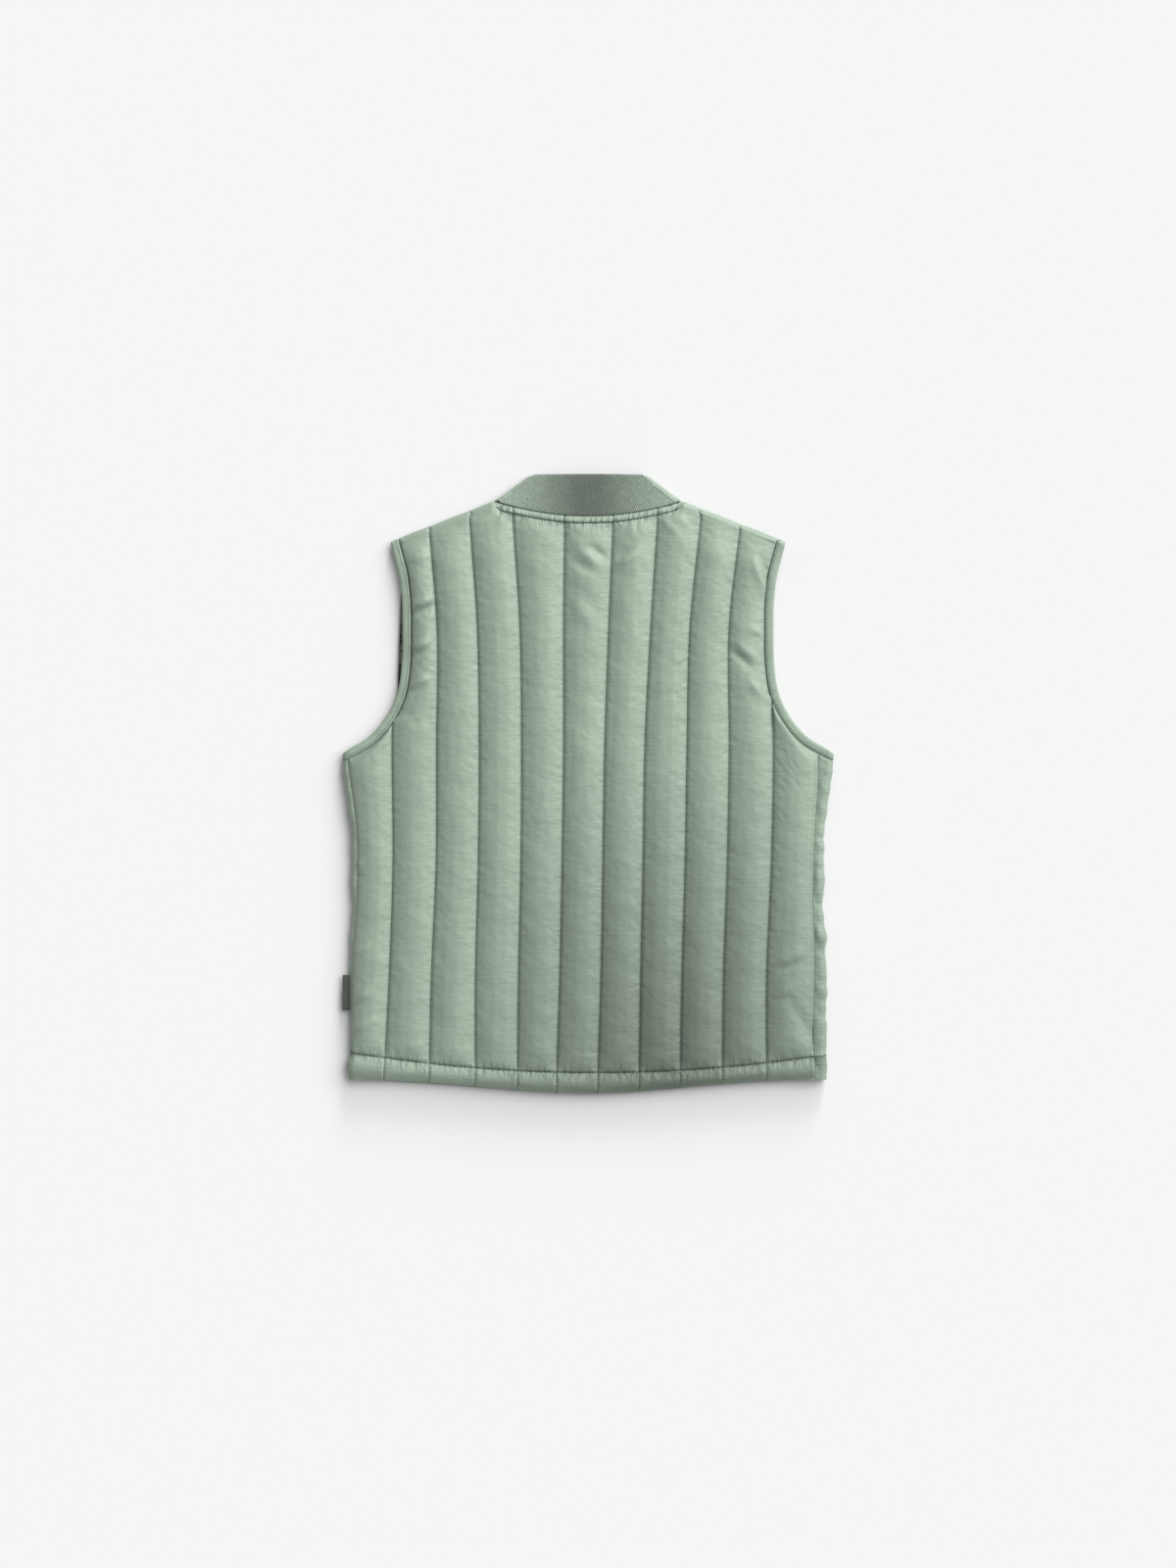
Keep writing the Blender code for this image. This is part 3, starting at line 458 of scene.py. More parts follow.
def lengthened(column: Column, rows: int) -> Column:
    """Brings a column to a number of rows by repeating its last values."""
    extra = (0, rows - len(column[0]))
    return tuple(np.pad(part, [extra, (0, 0)][: part.ndim], mode="edge") for part in column)


def cells_between(used: Array) -> Array:
    """Which cells of a grid have all their corners in use."""
    return used[:-1, :-1] & used[1:, 1:] & used[1:, :-1] & used[:-1, 1:]


def channel_spans(columns: Columns) -> Iterator[tuple[int, int]]:
    """Finds each channel on a grid of twice as many columns.

    Args:
        columns: the columns before they were doubled.

    Yields:
        The first and the last doubled column of each channel, from left to right.
    """
    for channel in range(LAST_LINE + 1):
        inside = [k for k, column in enumerate(columns) if column[0] == channel]
        yield 2 * inside[0], min(2 * inside[-1] + 2, 2 * len(columns) - 2)


def lay_grid(valid: Array) -> bmesh.types.BMesh:
    """Starts a sheet of cloth as a grid whose points know their row and column.

    Args:
        valid: which cells of the grid are in use.

    Returns:
        The sheet, flat, with its row and column on two layers of its points.
    """
    rows, columns = valid.shape[0] + 1, valid.shape[1] + 1
    bm = bmesh.new()
    bmesh.ops.create_grid(bm, x_segments=columns - 1, y_segments=rows - 1, size=0.5)
    row_layer = bm.verts.layers.float.new("row")
    column_layer = bm.verts.layers.float.new("column")
    for vert in bm.verts:
        vert[row_layer] = round((vert.co.y + 0.5) * (rows - 1))
        vert[column_layer] = round((vert.co.x + 0.5) * (columns - 1))
    unused = []
    for face in bm.faces:
        row = int(min(vert[row_layer] for vert in face.verts))
        column = int(min(vert[column_layer] for vert in face.verts))
        if not valid[row, column]:
            unused.append(face)
    bmesh.ops.delete(bm, geom=unused, context="FACES")
    return bm


def grid_keys(bm: bmesh.types.BMesh, verts: Sequence, fineness: int) -> list[tuple[int, int]]:
    """Row and column of each of a sheet's points on a grid that many times as fine."""
    row, column = (bm.verts.layers.float[name] for name in ("row", "column"))
    return [(round(vert[row] * fineness), round(vert[column] * fineness)) for vert in verts]


def place_points(bm: bmesh.types.BMesh, verts: list, grid: Array, fineness: int) -> None:
    """Moves a sheet's points to their places.

    Args:
        bm: the sheet.
        verts: the points to move.
        grid: places in millimetres.
        fineness: how many steps the grid has for each of the sheet's own rows.
    """
    for vert, key in zip(verts, grid_keys(bm, verts, fineness), strict=True):
        vert.co = Vector(grid[key].tolist()) * MM


def write_mesh(name: str, bm: bmesh.types.BMesh) -> bpy.types.Object:
    """Turns a bmesh into a smooth object at the origin.

    Args:
        name: the object's name.
        bm: its shape, which is used up.

    Returns:
        The object.
    """
    mesh = bpy.data.meshes.new(name)
    bm.to_mesh(mesh)
    bm.free()
    mesh.shade_smooth()
    piece = bpy.data.objects.new(name, mesh)
    bpy.context.collection.objects.link(piece)
    return piece


def mark_points(bm: bmesh.types.BMesh, verts: list, name: str, grid: Array, fineness: int) -> None:
    """Writes a value from a grid on each of a sheet's points, for the finish to read.

    Args:
        bm: the sheet.
        verts: the points to write on.
        name: the value's name.
        grid: the values.
        fineness: how many steps the grid has for each of the sheet's own rows.
    """
    layer = bm.verts.layers.float[name]
    for vert, key in zip(verts, grid_keys(bm, verts, fineness), strict=True):
        vert[layer] = grid[key]


def closed_sheet(
    name: str, cells: Array, wall: Wall, ring: bool = False, fine: bool = True, marks: dict | None = None
) -> bpy.types.Object:
    """Makes a closed piece from a wall, with its outside twice as fine as its inside.

    Args:
        name: the piece's name.
        cells: which cells of the grid are in use.
        wall: the wall. Its outside is already doubled where fine is set.
        ring: whether the last row is the first one again.
        fine: whether the outside is doubled.
        marks: values for the outside's points, by name.

    Returns:
        The piece.
    """
    bm = lay_grid(cells)
    for mark in ("out", *(marks or {})):
        bm.verts.layers.float.new(mark)
    if ring:
        weld_ring(bm, cells.shape[0])
    side = bm.verts.layers.float["out"]
    grown = bmesh.ops.extrude_face_region(bm, geom=list(bm.faces))["geom"]
    for item in grown:
        if isinstance(item, bmesh.types.BMVert):
            item[side] = 1.0
    if fine:
        edges = [edge for edge in bm.edges if edge.verts[0][side] + edge.verts[1][side] > 1.5]
        bmesh.ops.subdivide_edges(bm, edges=edges, cuts=1, use_grid_fill=True)
    side = bm.verts.layers.float["out"]
    outer = [vert for vert in bm.verts if vert[side] > 0.5]
    place_points(bm, [vert for vert in bm.verts if vert[side] < 0.5], wall.inside, 1)
    place_points(bm, outer, wall.outside, 2 if fine else 1)
    for mark in marks or {}:
        mark_points(bm, outer, mark, marks[mark], 2 if fine else 1)
    bmesh.ops.recalc_face_normals(bm, faces=list(bm.faces))
    return write_mesh(name, bm)


def weld_ring(bm: bmesh.types.BMesh, last: int) -> None:
    """Joins a sheet's last row to its first.

    Args:
        bm: the sheet.
        last: number of the last row.
    """
    keyed = list(zip(bm.verts, grid_keys(bm, bm.verts, 1), strict=True))
    first = {column: vert for vert, (row, column) in keyed if row == 0}
    ends = {vert: first[column] for vert, (row, column) in keyed if row == last}
    bmesh.ops.weld_verts(bm, targetmap=ends)


@dataclass(frozen=True)
class Crease:
    """A soft ridge, or a trough where it is negative, from one point to another."""

    start: tuple[float, float]
    end: tuple[float, float]
    width: float
    rise: float

    def lift(self, x: Array, y: Array) -> Array:
        """How far the crease lifts the cloth at each point.

        Args:
            x: places across the back.
            y: heights of the places.

        Returns:
            The lift at each point, in millimetres.
        """
        a, b = np.array(self.start), np.array(self.end)
        run = b - a
        reach = math.hypot(*run)
        along = ((x - a[0]) * run[0] + (y - a[1]) * run[1]) / reach
        across = ((y - a[1]) * run[0] - (x - a[0]) * run[1]) / reach
        taper = smooth((along + self.width) / (2.0 * self.width + 0.3 * reach))
        taper = taper * smooth((reach + self.width - along) / (2.0 * self.width + 0.3 * reach))
        return self.rise * taper * np.exp(-((across / self.width) ** 2))


@dataclass(frozen=True)
class ClothRun:
    """A short run of the cloth solver, with the stitched lines held."""

    pressure: float = 6.0
    slack: float = 0.002
    frames: int = 22
    scale: float = 10.0
    limit: float = 2.6

    def inflate(self, cells: Array, outside: Array, held: Array) -> Array:
        """Blows up the free cloth between the held lines.

        Args:
            cells: which cells of the grid are in use.
            outside: the sheet's points, in millimetres.
            held: which of them stay where they are.

        Returns:
            The points after the run, none moved further than the limit.
        """
        bm = lay_grid(cells)
        place_points(bm, list(bm.verts), outside * self.scale, 1)
        keys = grid_keys(bm, bm.verts, 1)
        sheet = write_mesh("cloth_run", bm)
        rows, columns = np.array(keys).T
        group = sheet.vertex_groups.new(name="held")
        group.add(np.flatnonzero(held[rows, columns]).tolist(), 1.0, "REPLACE")
        settings = self.add_cloth(sheet)
        settings.vertex_group_mass = "held"
        scene = bpy.context.scene
        for frame in range(1, self.frames + 1):
            scene.frame_set(frame)
        evaluated = sheet.evaluated_get(bpy.context.evaluated_depsgraph_get())
        flat = np.empty(3 * len(evaluated.data.vertices))
        evaluated.data.vertices.foreach_get("co", flat)
        result = outside.copy()
        result[rows, columns] = flat.reshape(-1, 3) / (MM * self.scale)
        scene.frame_set(1)
        bpy.data.objects.remove(sheet, do_unlink=True)
        move = result - outside
        reach = length(move)
        return outside + move * np.minimum(1.0, self.limit / np.maximum(reach, 1e-9))

    def add_cloth(self, sheet: bpy.types.Object) -> bpy.types.ClothSettings:
        """Adds the cloth to a sheet and returns its settings.

        Args:
            sheet: the sheet.

        Returns:
            The cloth's settings.
        """
        cloth = sheet.modifiers.new("cloth", "CLOTH")
        settings = cloth.settings
        settings.quality = 6
        settings.mass = 0.02
        settings.tension_stiffness = 18.0
        settings.compression_stiffness = 18.0
        settings.shear_stiffness = 6.0
        settings.bending_stiffness = 0.05
        settings.air_damping = 4.0
        settings.shrink_min = -self.slack
        settings.use_pressure = True
        settings.uniform_pressure_force = self.pressure
        settings.effector_weights.gravity = 0.0
        cloth.collision_settings.use_collision = False
        cloth.point_cache.frame_start = 1
        cloth.point_cache.frame_end = self.frames
        return settings


# The back panel.

SIDE_SHARES = (0.0, 0.035, 0.08, 0.15, 0.25, 0.37, 0.5, 0.63, 0.76, 0.88)
INNER_SHARES = (0.0, 0.045, 0.11, 0.2, 0.31, 0.43, 0.57, 0.69, 0.8, 0.89, 0.955)
HEM_ROUND = tuple(math.radians(angle) for angle in (0.0, 22.0, 45.0, 68.0, 90.0))
HEM_ROUNDING = 1.9
# How far below the shoulders and the neck's strip the filling reaches its full swell.
SETTLED = 12.0
FOLD_ANGLES = tuple(math.radians(angle) for angle in (90.0, 78.0, 66.0, 53.0, 40.0, 27.0, 14.0, 2.0))
TOP_STEPS = (0.948, 0.963, 0.975, 0.984, 0.992)
STRIP_SHARES = (1.0, 0.93, 0.8, 0.6, 0.4, 0.2, 0.07, 0.0)


@dataclass
class BackPanel:
    """The quilted back, with its hem, its shoulders' folds and the strip along the neck."""

    body_rows: int = 80
    upper_rows: int = 44
    seed: int = 11
    pucker: float = 0.22
    ditch: float = 1.05
    run: ClothRun = ClothRun()
    stitch_rise: float = 0.12
    paths: Paths = field(default_factory=list, init=False)
    seam_paths: Paths = field(default_factory=list, init=False)

    def columns(self) -> Columns:
        """The columns as pairs of a channel and a share across it, from left to right.

        Returns:
            The pairs.
        """
        found = []
        for channel in range(LAST_LINE + 1):
            shares = list(INNER_SHARES)
            if channel == 0:
                shares = [0.0, *(1.0 - share for share in reversed(SIDE_SHARES[1:]))]
            if channel == LAST_LINE:
                shares = list(SIDE_SHARES)
            for line, sign in ((3, -1), (7, 1)):
                if channel == line:
                    shares = self.neck_shares(line, sign)
            found += [(channel, share) for share in shares]
        return [*found, (LAST_LINE, 1.0)]

    def neck_shares(self, line: int, sign: int) -> list[float]:
        """Shares across the channel that holds the end of the shoulder, with one on each side of it.

        Args:
            line: the quilted line at the channel's left.
            sign: 1 at the right and -1 at the left.

        Returns:
            The shares, rising.
        """
        left, right = QUILT_LINES[line - 1][-1], QUILT_LINES[line][-1]
        ends = [(sign * half - left) / (right - left) for half in (SHOULDER_NECK[0] + 0.3, CORNER_X)]
        near = min(ends) - 0.04, max(ends) + 0.04
        return sorted([share for share in INNER_SHARES if not near[0] < share < near[1]] + ends)

    def hem_heights(self, x: float, top: float) -> Array:
        """Heights of the body's rows at a place across it, from the hem's edge up.

        Args:
            x: the place.
            top: height of the last row.

        Returns:
            The heights.
        """
        low, stitch = float(hem_edge(x)), float(hem_stitch(x))
        edge = [low + HEM_ROUNDING * (1.0 - math.cos(angle)) for angle in HEM_ROUND]
        band = [mix(edge[-1], stitch, share) for share in (0.2, 0.4, 0.6, 0.78, 0.9, 0.96)]
        above = [stitch + step for step in (0.6, 1.4, 2.6, 4.2, 6.4)]
        free = np.linspace(stitch + 9.0, top, self.body_rows)
        return np.array([*edge, *band, stitch, *above, *free])

    @property
    def stitch_row(self) -> int:
        """The row of the hem's topstitching."""
        return len(HEM_ROUND) + 6

    @property
    def junction_row(self) -> int:
        """The last row of the body."""
        return self.stitch_row + 5 + self.body_rows

    def body_padding(self, heights: Array, x: Array) -> tuple[Array, Array]:
        """How full the padding is on each row of the body, and the wall's least thickness.

        Args:
            heights: heights of the places.
            x: their places across the body.

        Returns:
            The shares of the full padding, and the least thicknesses.
        """
        low, stitch = hem_edge(x), hem_stitch(x)
        share = np.clip((heights - low) / (stitch - low), 0.0, 1.0)
        band = 1.7 + 3.6 * (1.0 - np.abs(2.0 * share - 1.0) ** 2.0)
        edge = np.clip((heights - low) / HEM_ROUNDING, 0.0, 1.0)
        band = np.where(edge < 1.0, THINNEST + (band - THINNEST) * np.sqrt(1.0 - (1.0 - edge) ** 2), band)
        above = heights - stitch
        least = np.where(above < 0.0, band, STITCHED)
        full = np.where(above < 0.0, 0.1 * np.sin(math.pi * share), 1.0 - np.exp(-above / 4.5))
        return full, least

    def side_column(self, channel: int, share: float, rows: int) -> Column:
        """A column between a side seam and the outermost line, up to the armhole.

        Args:
            channel: the first channel or the last one.
            share: share of the way across it.
            rows: how many rows the whole grid has.

        Returns:
            The wall's inside, the directions out of it and its thicknesses, up the column.
        """
        side = Side.LEFT if channel == 0 else Side.RIGHT
        sign = side.value
        outwards = 1.0 - share if channel == 0 else share
        line = CUT.outermost(side)
        seam = junction_arcs(side)[0]
        gap = seam_half_gap(side)
        along = mix(CUT.along_at_height(JUNCTION[side]), CUT.along_at_inset(inset_of_arc(seam)), outwards)
        corner = CUT.armhole(along, BAND_INNER)
        nominal = mix(float(line(-200.0)), sign * 165.6, outwards)
        heights = self.hem_heights(nominal, float(corner[1]))
        half = CUT.half_width(np.minimum(heights, SIDE_TOP))
        line_arc = arc_of_inset(half - np.abs(line(heights)), 1.0)
        arc = mix(line_arc, CUT.seam_arc(side, heights) + gap, outwards)
        near = smooth((heights - corner[1] + 10.0) / 10.0)
        arc = mix(arc, arc_of_inset(CUT.inset_of(corner), 1.0), near)
        level = mix(2 * SIDE_FOLD - WALL, BACK_INSIDE, smooth((inset_of_arc(arc) - SIDE_FOLD) / RAMP))
        level = mix(level, CUT.armhole_inside(along), near)
        full, least = self.body_padding(heights, nominal)
        full = full * (1.0 - smooth((heights - corner[1] + 7.0) / 7.0) ** 3)
        least = mix(least, np.maximum(WALL, least), smooth(outwards))
        least = mix(least, BAND_EDGE * WALL, near)
        inside, outward = CUT.on_side(sign, arc, heights, level)
        thickness = least + full * crown(share)
        return lengthened((inside, outward, thickness), rows)

    def line_place(self, line: int, steps: Array) -> tuple[Array, Array]:
        """X and height of a quilted line, or of an armhole's edge, above the junction.

        Args:
            line: the line's number, from 1.
            steps: shares of the way up.

        Returns:
            The places across, and the heights.
        """
        if line in (1, LAST_LINE):
            side = Side.LEFT if line == 1 else Side.RIGHT
            along = mix(CUT.along_at_height(JUNCTION[side]), CUT.arm_length - TIP_FOLD, steps)
            point = CUT.armhole(along, BAND_INNER)
            return side.value * point[..., 0], point[..., 1]
        heights = mix(junction_height(line), float(top_height(QUILT_LINES[line - 1][-1])), steps)
        return CUT.lines[line - 1](heights), heights

    def inner_column(self, channel: int, share: float) -> Column:
        """A column in one of the nine channels between the outermost lines.

        Args:
            channel: the channel, named by the line at its left.
            share: share of the way across it.

        Returns:
            The wall's inside, the directions out of it and its thicknesses, up the column.
        """
        left, right = CUT.lines[channel - 1], CUT.lines[channel]
        nominal = mix(float(left(-200.0)), float(right(-200.0)), share)
        top = mix(junction_height(channel), junction_height(channel + 1), share)
        heights = self.hem_heights(nominal, top)
        x = mix(left(heights), right(heights), share)
        steps = np.array([*np.linspace(0.0, 0.93, self.upper_rows)[1:], *TOP_STEPS])
        (x0, y0), (x1, y1) = self.line_place(channel, steps), self.line_place(channel + 1, steps)
        heights = np.concatenate([heights, mix(y0, y1, share)])
        x = np.concatenate([x, mix(x0, x1, share)])
        full, least = self.body_padding(heights, nominal)
        edge = self.line_top(channel, share)
        over = top_height(edge) - heights
        if abs(edge) > CORNER_X + 0.5:
            full *= mix(0.34, 1.0, smooth(over / 26.0))
            least = mix(least, WALL, 1.0 - smooth(over / 14.0))
        else:
            full *= 1.0 - np.exp(-np.maximum(over, 0.0) / 4.0)
        upper = smooth((heights - junction_height(channel)) / 10.0)
        if channel == 1:
            least = mix(least, BAND_EDGE * WALL, (1.0 - share) ** 2 * upper)
        if channel == LAST_LINE - 1:
            least = mix(least, BAND_EDGE * WALL, share**2 * upper)
        inside = spots(x, heights, self.level(x, heights))
        outward = spots(0.0 * x, 0.0, 1.0)
        thickness = least + full * crown(share)
        fold, fold_out, fold_thick = self.top_column(edge, share)
        return (
            np.concatenate([inside, fold]),
            np.concatenate([outward, fold_out]),
            np.concatenate([thickness, fold_thick]),
        )

    def line_top(self, channel: int, share: float) -> float:
        """X of a column where it meets the shoulder or the neck.

        Args:
            channel: the column's channel.
            share: share of the way across it.

        Returns:
            The place across.
        """
        ends = [QUILT_LINES[line - 1][-1] for line in (channel, channel + 1)]
        left, right = (math.copysign(CUT.tip, end) if abs(end) > ARMHOLE_LINE else end for end in ends)
        return mix(left, right, share)

    def top_column(self, x: float, share: float) -> Column:
        """The end of a column: the fold over the shoulder, or the strip along the neck.

        Args:
            x: the column's place where it meets them.
            share: share of the way across its channel.

        Returns:
            The wall's inside, the directions out of it and its thicknesses, up the column.
        """
        if abs(x) > CORNER_X + 0.5:
            angles = np.array(FOLD_ANGLES)
            inside, outward = CUT.on_shoulder(math.copysign(1.0, x), np.full(len(angles), abs(x)), angles)
            return inside, outward, WALL + mix(0.34, 0.05, 1.0 - angles / angles[0]) * crown(share)
        shares = np.array(STRIP_SHARES)
        seam = back_neck(x) - HALF_GAP - 0.5 * smooth((abs(x) - 50.0) / (CORNER_X - 50.0))
        level = 2.0 * NECK_FOLD - WALL + 0.3 * (1.0 - (x / CORNER_X) ** 2)
        cord = 1.25 * (1.0 - 0.6 * smooth((abs(x) - 54.0) / (CORNER_X - 54.0)))
        thickness = mix(2.2, STITCHED, shares) + cord * (1.0 - np.abs(2.0 * shares - 1.0) ** 2.4)
        inside = spots(np.full(len(shares), x), seam - STRIP * shares, level)
        return inside, np.broadcast_to(UP, inside.shape), thickness

    def level(self, x: Array, heights: Array) -> Array:
        """Height of the back's inside, which sinks towards the armholes and the shoulders.

        Args:
            x: places across the back.
            heights: heights of the places.

        Returns:
            The inside's heights over the floor.
        """
        along = np.interp(heights, CUT.arm_heights, CUT.arm_samples)
        edge = CUT.armhole(along, BINDING)
        below = np.maximum(JUNCTION[Side.LEFT] - heights, 0.0)
        far = smooth(np.hypot(np.maximum(edge[..., 0] - np.abs(x), 0.0), below) / RAMP)
        near_arm = mix(CUT.armhole_inside(along), BACK_INSIDE, far)
        level = np.where(heights > JUNCTION[Side.LEFT] - RAMP, near_arm, BACK_INSIDE)
        top_level = 2.0 * CUT.shoulder_radius(np.abs(x)) - WALL
        return np.minimum(level, mix(top_level, BACK_INSIDE, smooth((top_height(x) - heights) / RAMP)))

    def lay_out(self) -> tuple[Wall, Array, Columns]:
        """Lays the panel out on its grid.

        Returns:
            The wall, which of its cells are in use, and the columns.
        """
        columns = self.columns()
        rows = len(self.inner_column(1, 0.0)[0])
        last = (LAST_LINE - 1, 1.0)
        parts = []
        for channel, share in columns:
            if channel in (0, LAST_LINE) and (channel, share) != (LAST_LINE, 0.0):
                parts.append(self.side_column(channel, share, rows))
            else:
                inner = (channel, share) if channel < LAST_LINE else last
                parts.append(self.inner_column(*inner))
        inside, outward, thickness = stacked(parts, 1)
        used = np.ones((rows, len(columns)), bool)
        first, end = columns.index((1, 0.0)), columns.index((LAST_LINE, 0.0))
        used[self.junction_row + 1 :, :first] = False
        used[self.junction_row + 1 :, end + 1 :] = False
        cells = cells_between(used)
        return Wall.raised(inside, outward, thickness, used), cells, columns

    def held(self, wall: Wall, columns: Columns) -> Array:
        """Which points of the grid are held by stitching or seams.

        Args:
            wall: the panel's wall.
            columns: its columns.

        Returns:
            True for each point that is held.
        """
        held = ~wall.valid
        held[: self.stitch_row + 1] = True
        held[self.junction_row + self.upper_rows + len(TOP_STEPS) - 1 :] = True
        for index, (channel, share) in enumerate(columns):
            held[:, index] |= share in (0.0, 1.0)
            if channel in (0, LAST_LINE):
                held[self.junction_row - 1 :, index] = True
        return held

    def build(self) -> bpy.types.Object:
        """Builds the panel.

        Returns:
            The closed piece.
        """
        wall, cells, columns = self.lay_out()
        outside = wall.outside
        swollen = self.run.inflate(cells, outside, self.held(wall, columns))
        below = top_height(outside[..., 0]) - outside[..., 1]
        outside = outside + (swollen - outside) * smooth(below / SETTLED)[..., None]
        outside = finer(outside, wall.valid)
        outward = finer(wall.outward, wall.valid)
        marks = self.marks(outside, columns)
        room = finer(length(wall.outside - wall.inside)[..., 0], wall.valid)
        lift = np.maximum(self.worked(outside, columns), THINNEST - room)
        outside = outside + outward * lift[..., None]
        self.paths = self.stitch_paths(outside, outward, columns)
        fine = Wall(wall.inside, outward, outside, wall.valid)
        return closed_sheet("back_panel", cells, fine, marks=marks)

    def from_lines(self, x: Array, columns: Columns, seams: bool) -> Array:
        """How far each point lies from the nearest quilted line, or from a side seam too.

        Args:
            x: places across the back, on the doubled grid.
            columns: the panel's columns, before they were doubled.
            seams: whether the side seams count.

        Returns:
            The distances.
        """
        far = np.full_like(x, FAR_OFF)
        end = 2 * len(columns) - 2
        for first, last in channel_spans(columns):
            edges = [edge for edge in (first, last) if seams or 0 < edge < end]
            block = slice(first, last + 1)
            for edge in edges:
                far[:, block] = np.minimum(far[:, block], np.abs(x[:, block] - x[:, edge][:, None]))
        return far

    def marks(self, outside: Array, columns: Columns) -> dict[str, Array]:
        """Nearness to the upright lines and to the level rows, where the finish puckers the cloth and paints
        shade into it.

        Args:
            outside: the outer face, on the doubled grid.
            columns: the panel's columns, before they were doubled.

        Returns:
            The values for each point, by name.
        """
        x, y = outside[..., 0], outside[..., 1]
        strip = np.where(np.abs(x) < CORNER_X, np.abs(back_neck(x) - STRIP - y), FAR_OFF)
        level = np.minimum(np.abs(y - hem_stitch(x)), strip)
        seams = 0.6 * np.exp(-self.from_lines(x, columns, True) / 2.6)
        lines = np.exp(-self.from_lines(x, columns, False) / 2.6)
        return {"near_line": np.maximum(lines, seams), "near_row": np.exp(-level / 3.0)}

    def stitch_paths(self, outside: Array, outward: Array, columns: Columns) -> Paths:
        """Rows of stitches on the finished panel: its quilted lines, its hem and its neck strip.

        Args:
            outside: the outer face, on the doubled grid.
            outward: the directions out of it.
            columns: the panel's columns, before they were doubled.

        Returns:
            The rows. Those of the side seams are kept apart.
        """
        raised = outside + self.stitch_rise * outward
        top = len(outside) - 2 * len(FOLD_ANGLES)
        lines = [2 * k for k, (channel, share) in enumerate(columns) if share == 0.0 and channel > 0]
        paths = []
        for number, line in enumerate(lines, start=1):
            end = top + 8 if abs(QUILT_LINES[number - 1][-1]) > CORNER_X else len(raised) - 1
            if number in (1, LAST_LINE):
                end = 2 * self.junction_row
            paths.append((raised[4:end, line], outward[4:end, line]))
        body = slice(8, 2 * self.junction_row - 2)
        self.seam_paths = [(outside[body, k] - 0.05 * outward[body, k], outward[body, k]) for k in (1, -2)]
        row = 2 * self.stitch_row
        paths.append((raised[row], outward[row]))
        for strip in (len(raised) - 2 * len(STRIP_SHARES) + 3, len(raised) - 3):
            inside = [k for k in range(raised.shape[1]) if abs(raised[strip, k, 0]) < CORNER_X - 1.0]
            paths.append((raised[strip, inside], outward[strip, inside]))
        return paths

    def worked(self, outside: Array, columns: Columns) -> Array:
        """How far creases and puckers lift each point.

        Args:
            outside: the outer face, on the doubled grid.
            columns: the panel's columns, before they were doubled.

        Returns:
            The lift at each point, in millimetres.
        """
        x, y = outside[..., 0], outside[..., 1]
        lift = sum(crease.lift(x, y) for crease in BACK_CREASES)
        lift = lift + self.puckers(x, y, columns)
        inside = smooth((y - hem_edge(x) - 0.5) / 5.0)
        lift -= self.ditch * inside * np.exp(-((self.from_lines(x, columns, False) / 0.95) ** 2))
        lift -= 0.5 * np.exp(-(((y - hem_stitch(x)) / 0.9) ** 2))
        return lift

    def puckers(self, x: Array, y: Array, columns: Columns) -> Array:
        """Small ripples where the stitching draws the cloth in, along both sides of each line.

        Args:
            x: places across the back, on the doubled grid.
            y: heights of the places.
            columns: the panel's columns, before they were doubled.

        Returns:
            The lift at each point, in millimetres.
        """
        rng = np.random.default_rng(self.seed)
        lift = np.zeros_like(x)
        for first, last in channel_spans(columns):
            block = slice(first, last + 1)
            for edge in (first, last):
                across = np.abs(x[:, block] - x[:, edge][:, None])
                lift[:, block] += ripple(rng, y[:, block], across) * self.pucker
        above = y - hem_stitch(x)
        close = np.where(above > 0.0, np.exp(-above / 4.5), np.exp(above / 5.0))
        close = close * smooth(np.abs(above) / 1.5)
        teeth = waves(rng, x, (4.6, 6.3, 9.7))
        lift += 0.55 * close * teeth
        top = back_neck(x) - STRIP - y
        near = np.exp(-np.maximum(top, 0.0) / 7.0) * smooth(top / 1.5) * (np.abs(x) < CORNER_X)
        lift += 0.5 * near * waves(rng, x, (5.6, 8.3, 12.1))
        return lift * smooth((y + 214.0) / 3.0)


def waves(rng: np.random.Generator, along: Array, lengths: Sequence[float]) -> Array:
    """A sum of waves with the given lengths and random phases, from about -1 to 1.

    Args:
        rng: where the phases come from.
        along: places along the waves.
        lengths: the waves' lengths.

    Returns:
        The sum at each place.
    """
    total = np.zeros_like(along)
    for size in lengths:
        phase, drift, slow = rng.uniform(0.0, 2.0 * math.pi, 3)
        bend = 1.1 * np.sin(2.0 * math.pi * along / (7.3 * size) + slow)
        swell = 0.65 + 0.35 * np.sin(2.0 * math.pi * along / (4.6 * size) + drift)
        total += swell * np.sin(2.0 * math.pi * along / size + phase + bend)
    return total / len(lengths)


def ripple(rng: np.random.Generator, along: Array, across: Array) -> Array:
    """Ripples that run out from a stitched line, strongest a little away from it.

    Args:
        rng: where their phases come from.
        along: places along the line.
        across: distances from it.

    Returns:
        The ripples, from about -1 to 1.
    """
    slant = rng.uniform(-0.35, 0.35)
    near = smooth(across / 1.6) * np.exp(-across / 3.2)
    far = smooth(across / 5.0) * np.exp(-across / 9.0)
    fine = waves(rng, along + slant * across, (6.2, 8.3, 12.7))
    broad = waves(rng, along + 2.0 * slant * across, (21.0, 34.0, 55.0))
    return near * fine + 0.3 * far * broad


def junction_height(line: int) -> float:
    """Height of the junction row at a quilted line."""
    return mix(JUNCTION[Side.LEFT], JUNCTION[Side.RIGHT], (line - 1) / (LAST_LINE - 1))


def top_height(x: Array | float) -> Array:
    """Height where the fold over the shoulder or the strip along the neck begins."""
    x = np.asarray(x, float)
    return np.where(
        np.abs(x) > CORNER_X + 0.5, CUT.shoulder_edge(np.abs(x)), back_neck(x) - STRIP - HALF_GAP
    )


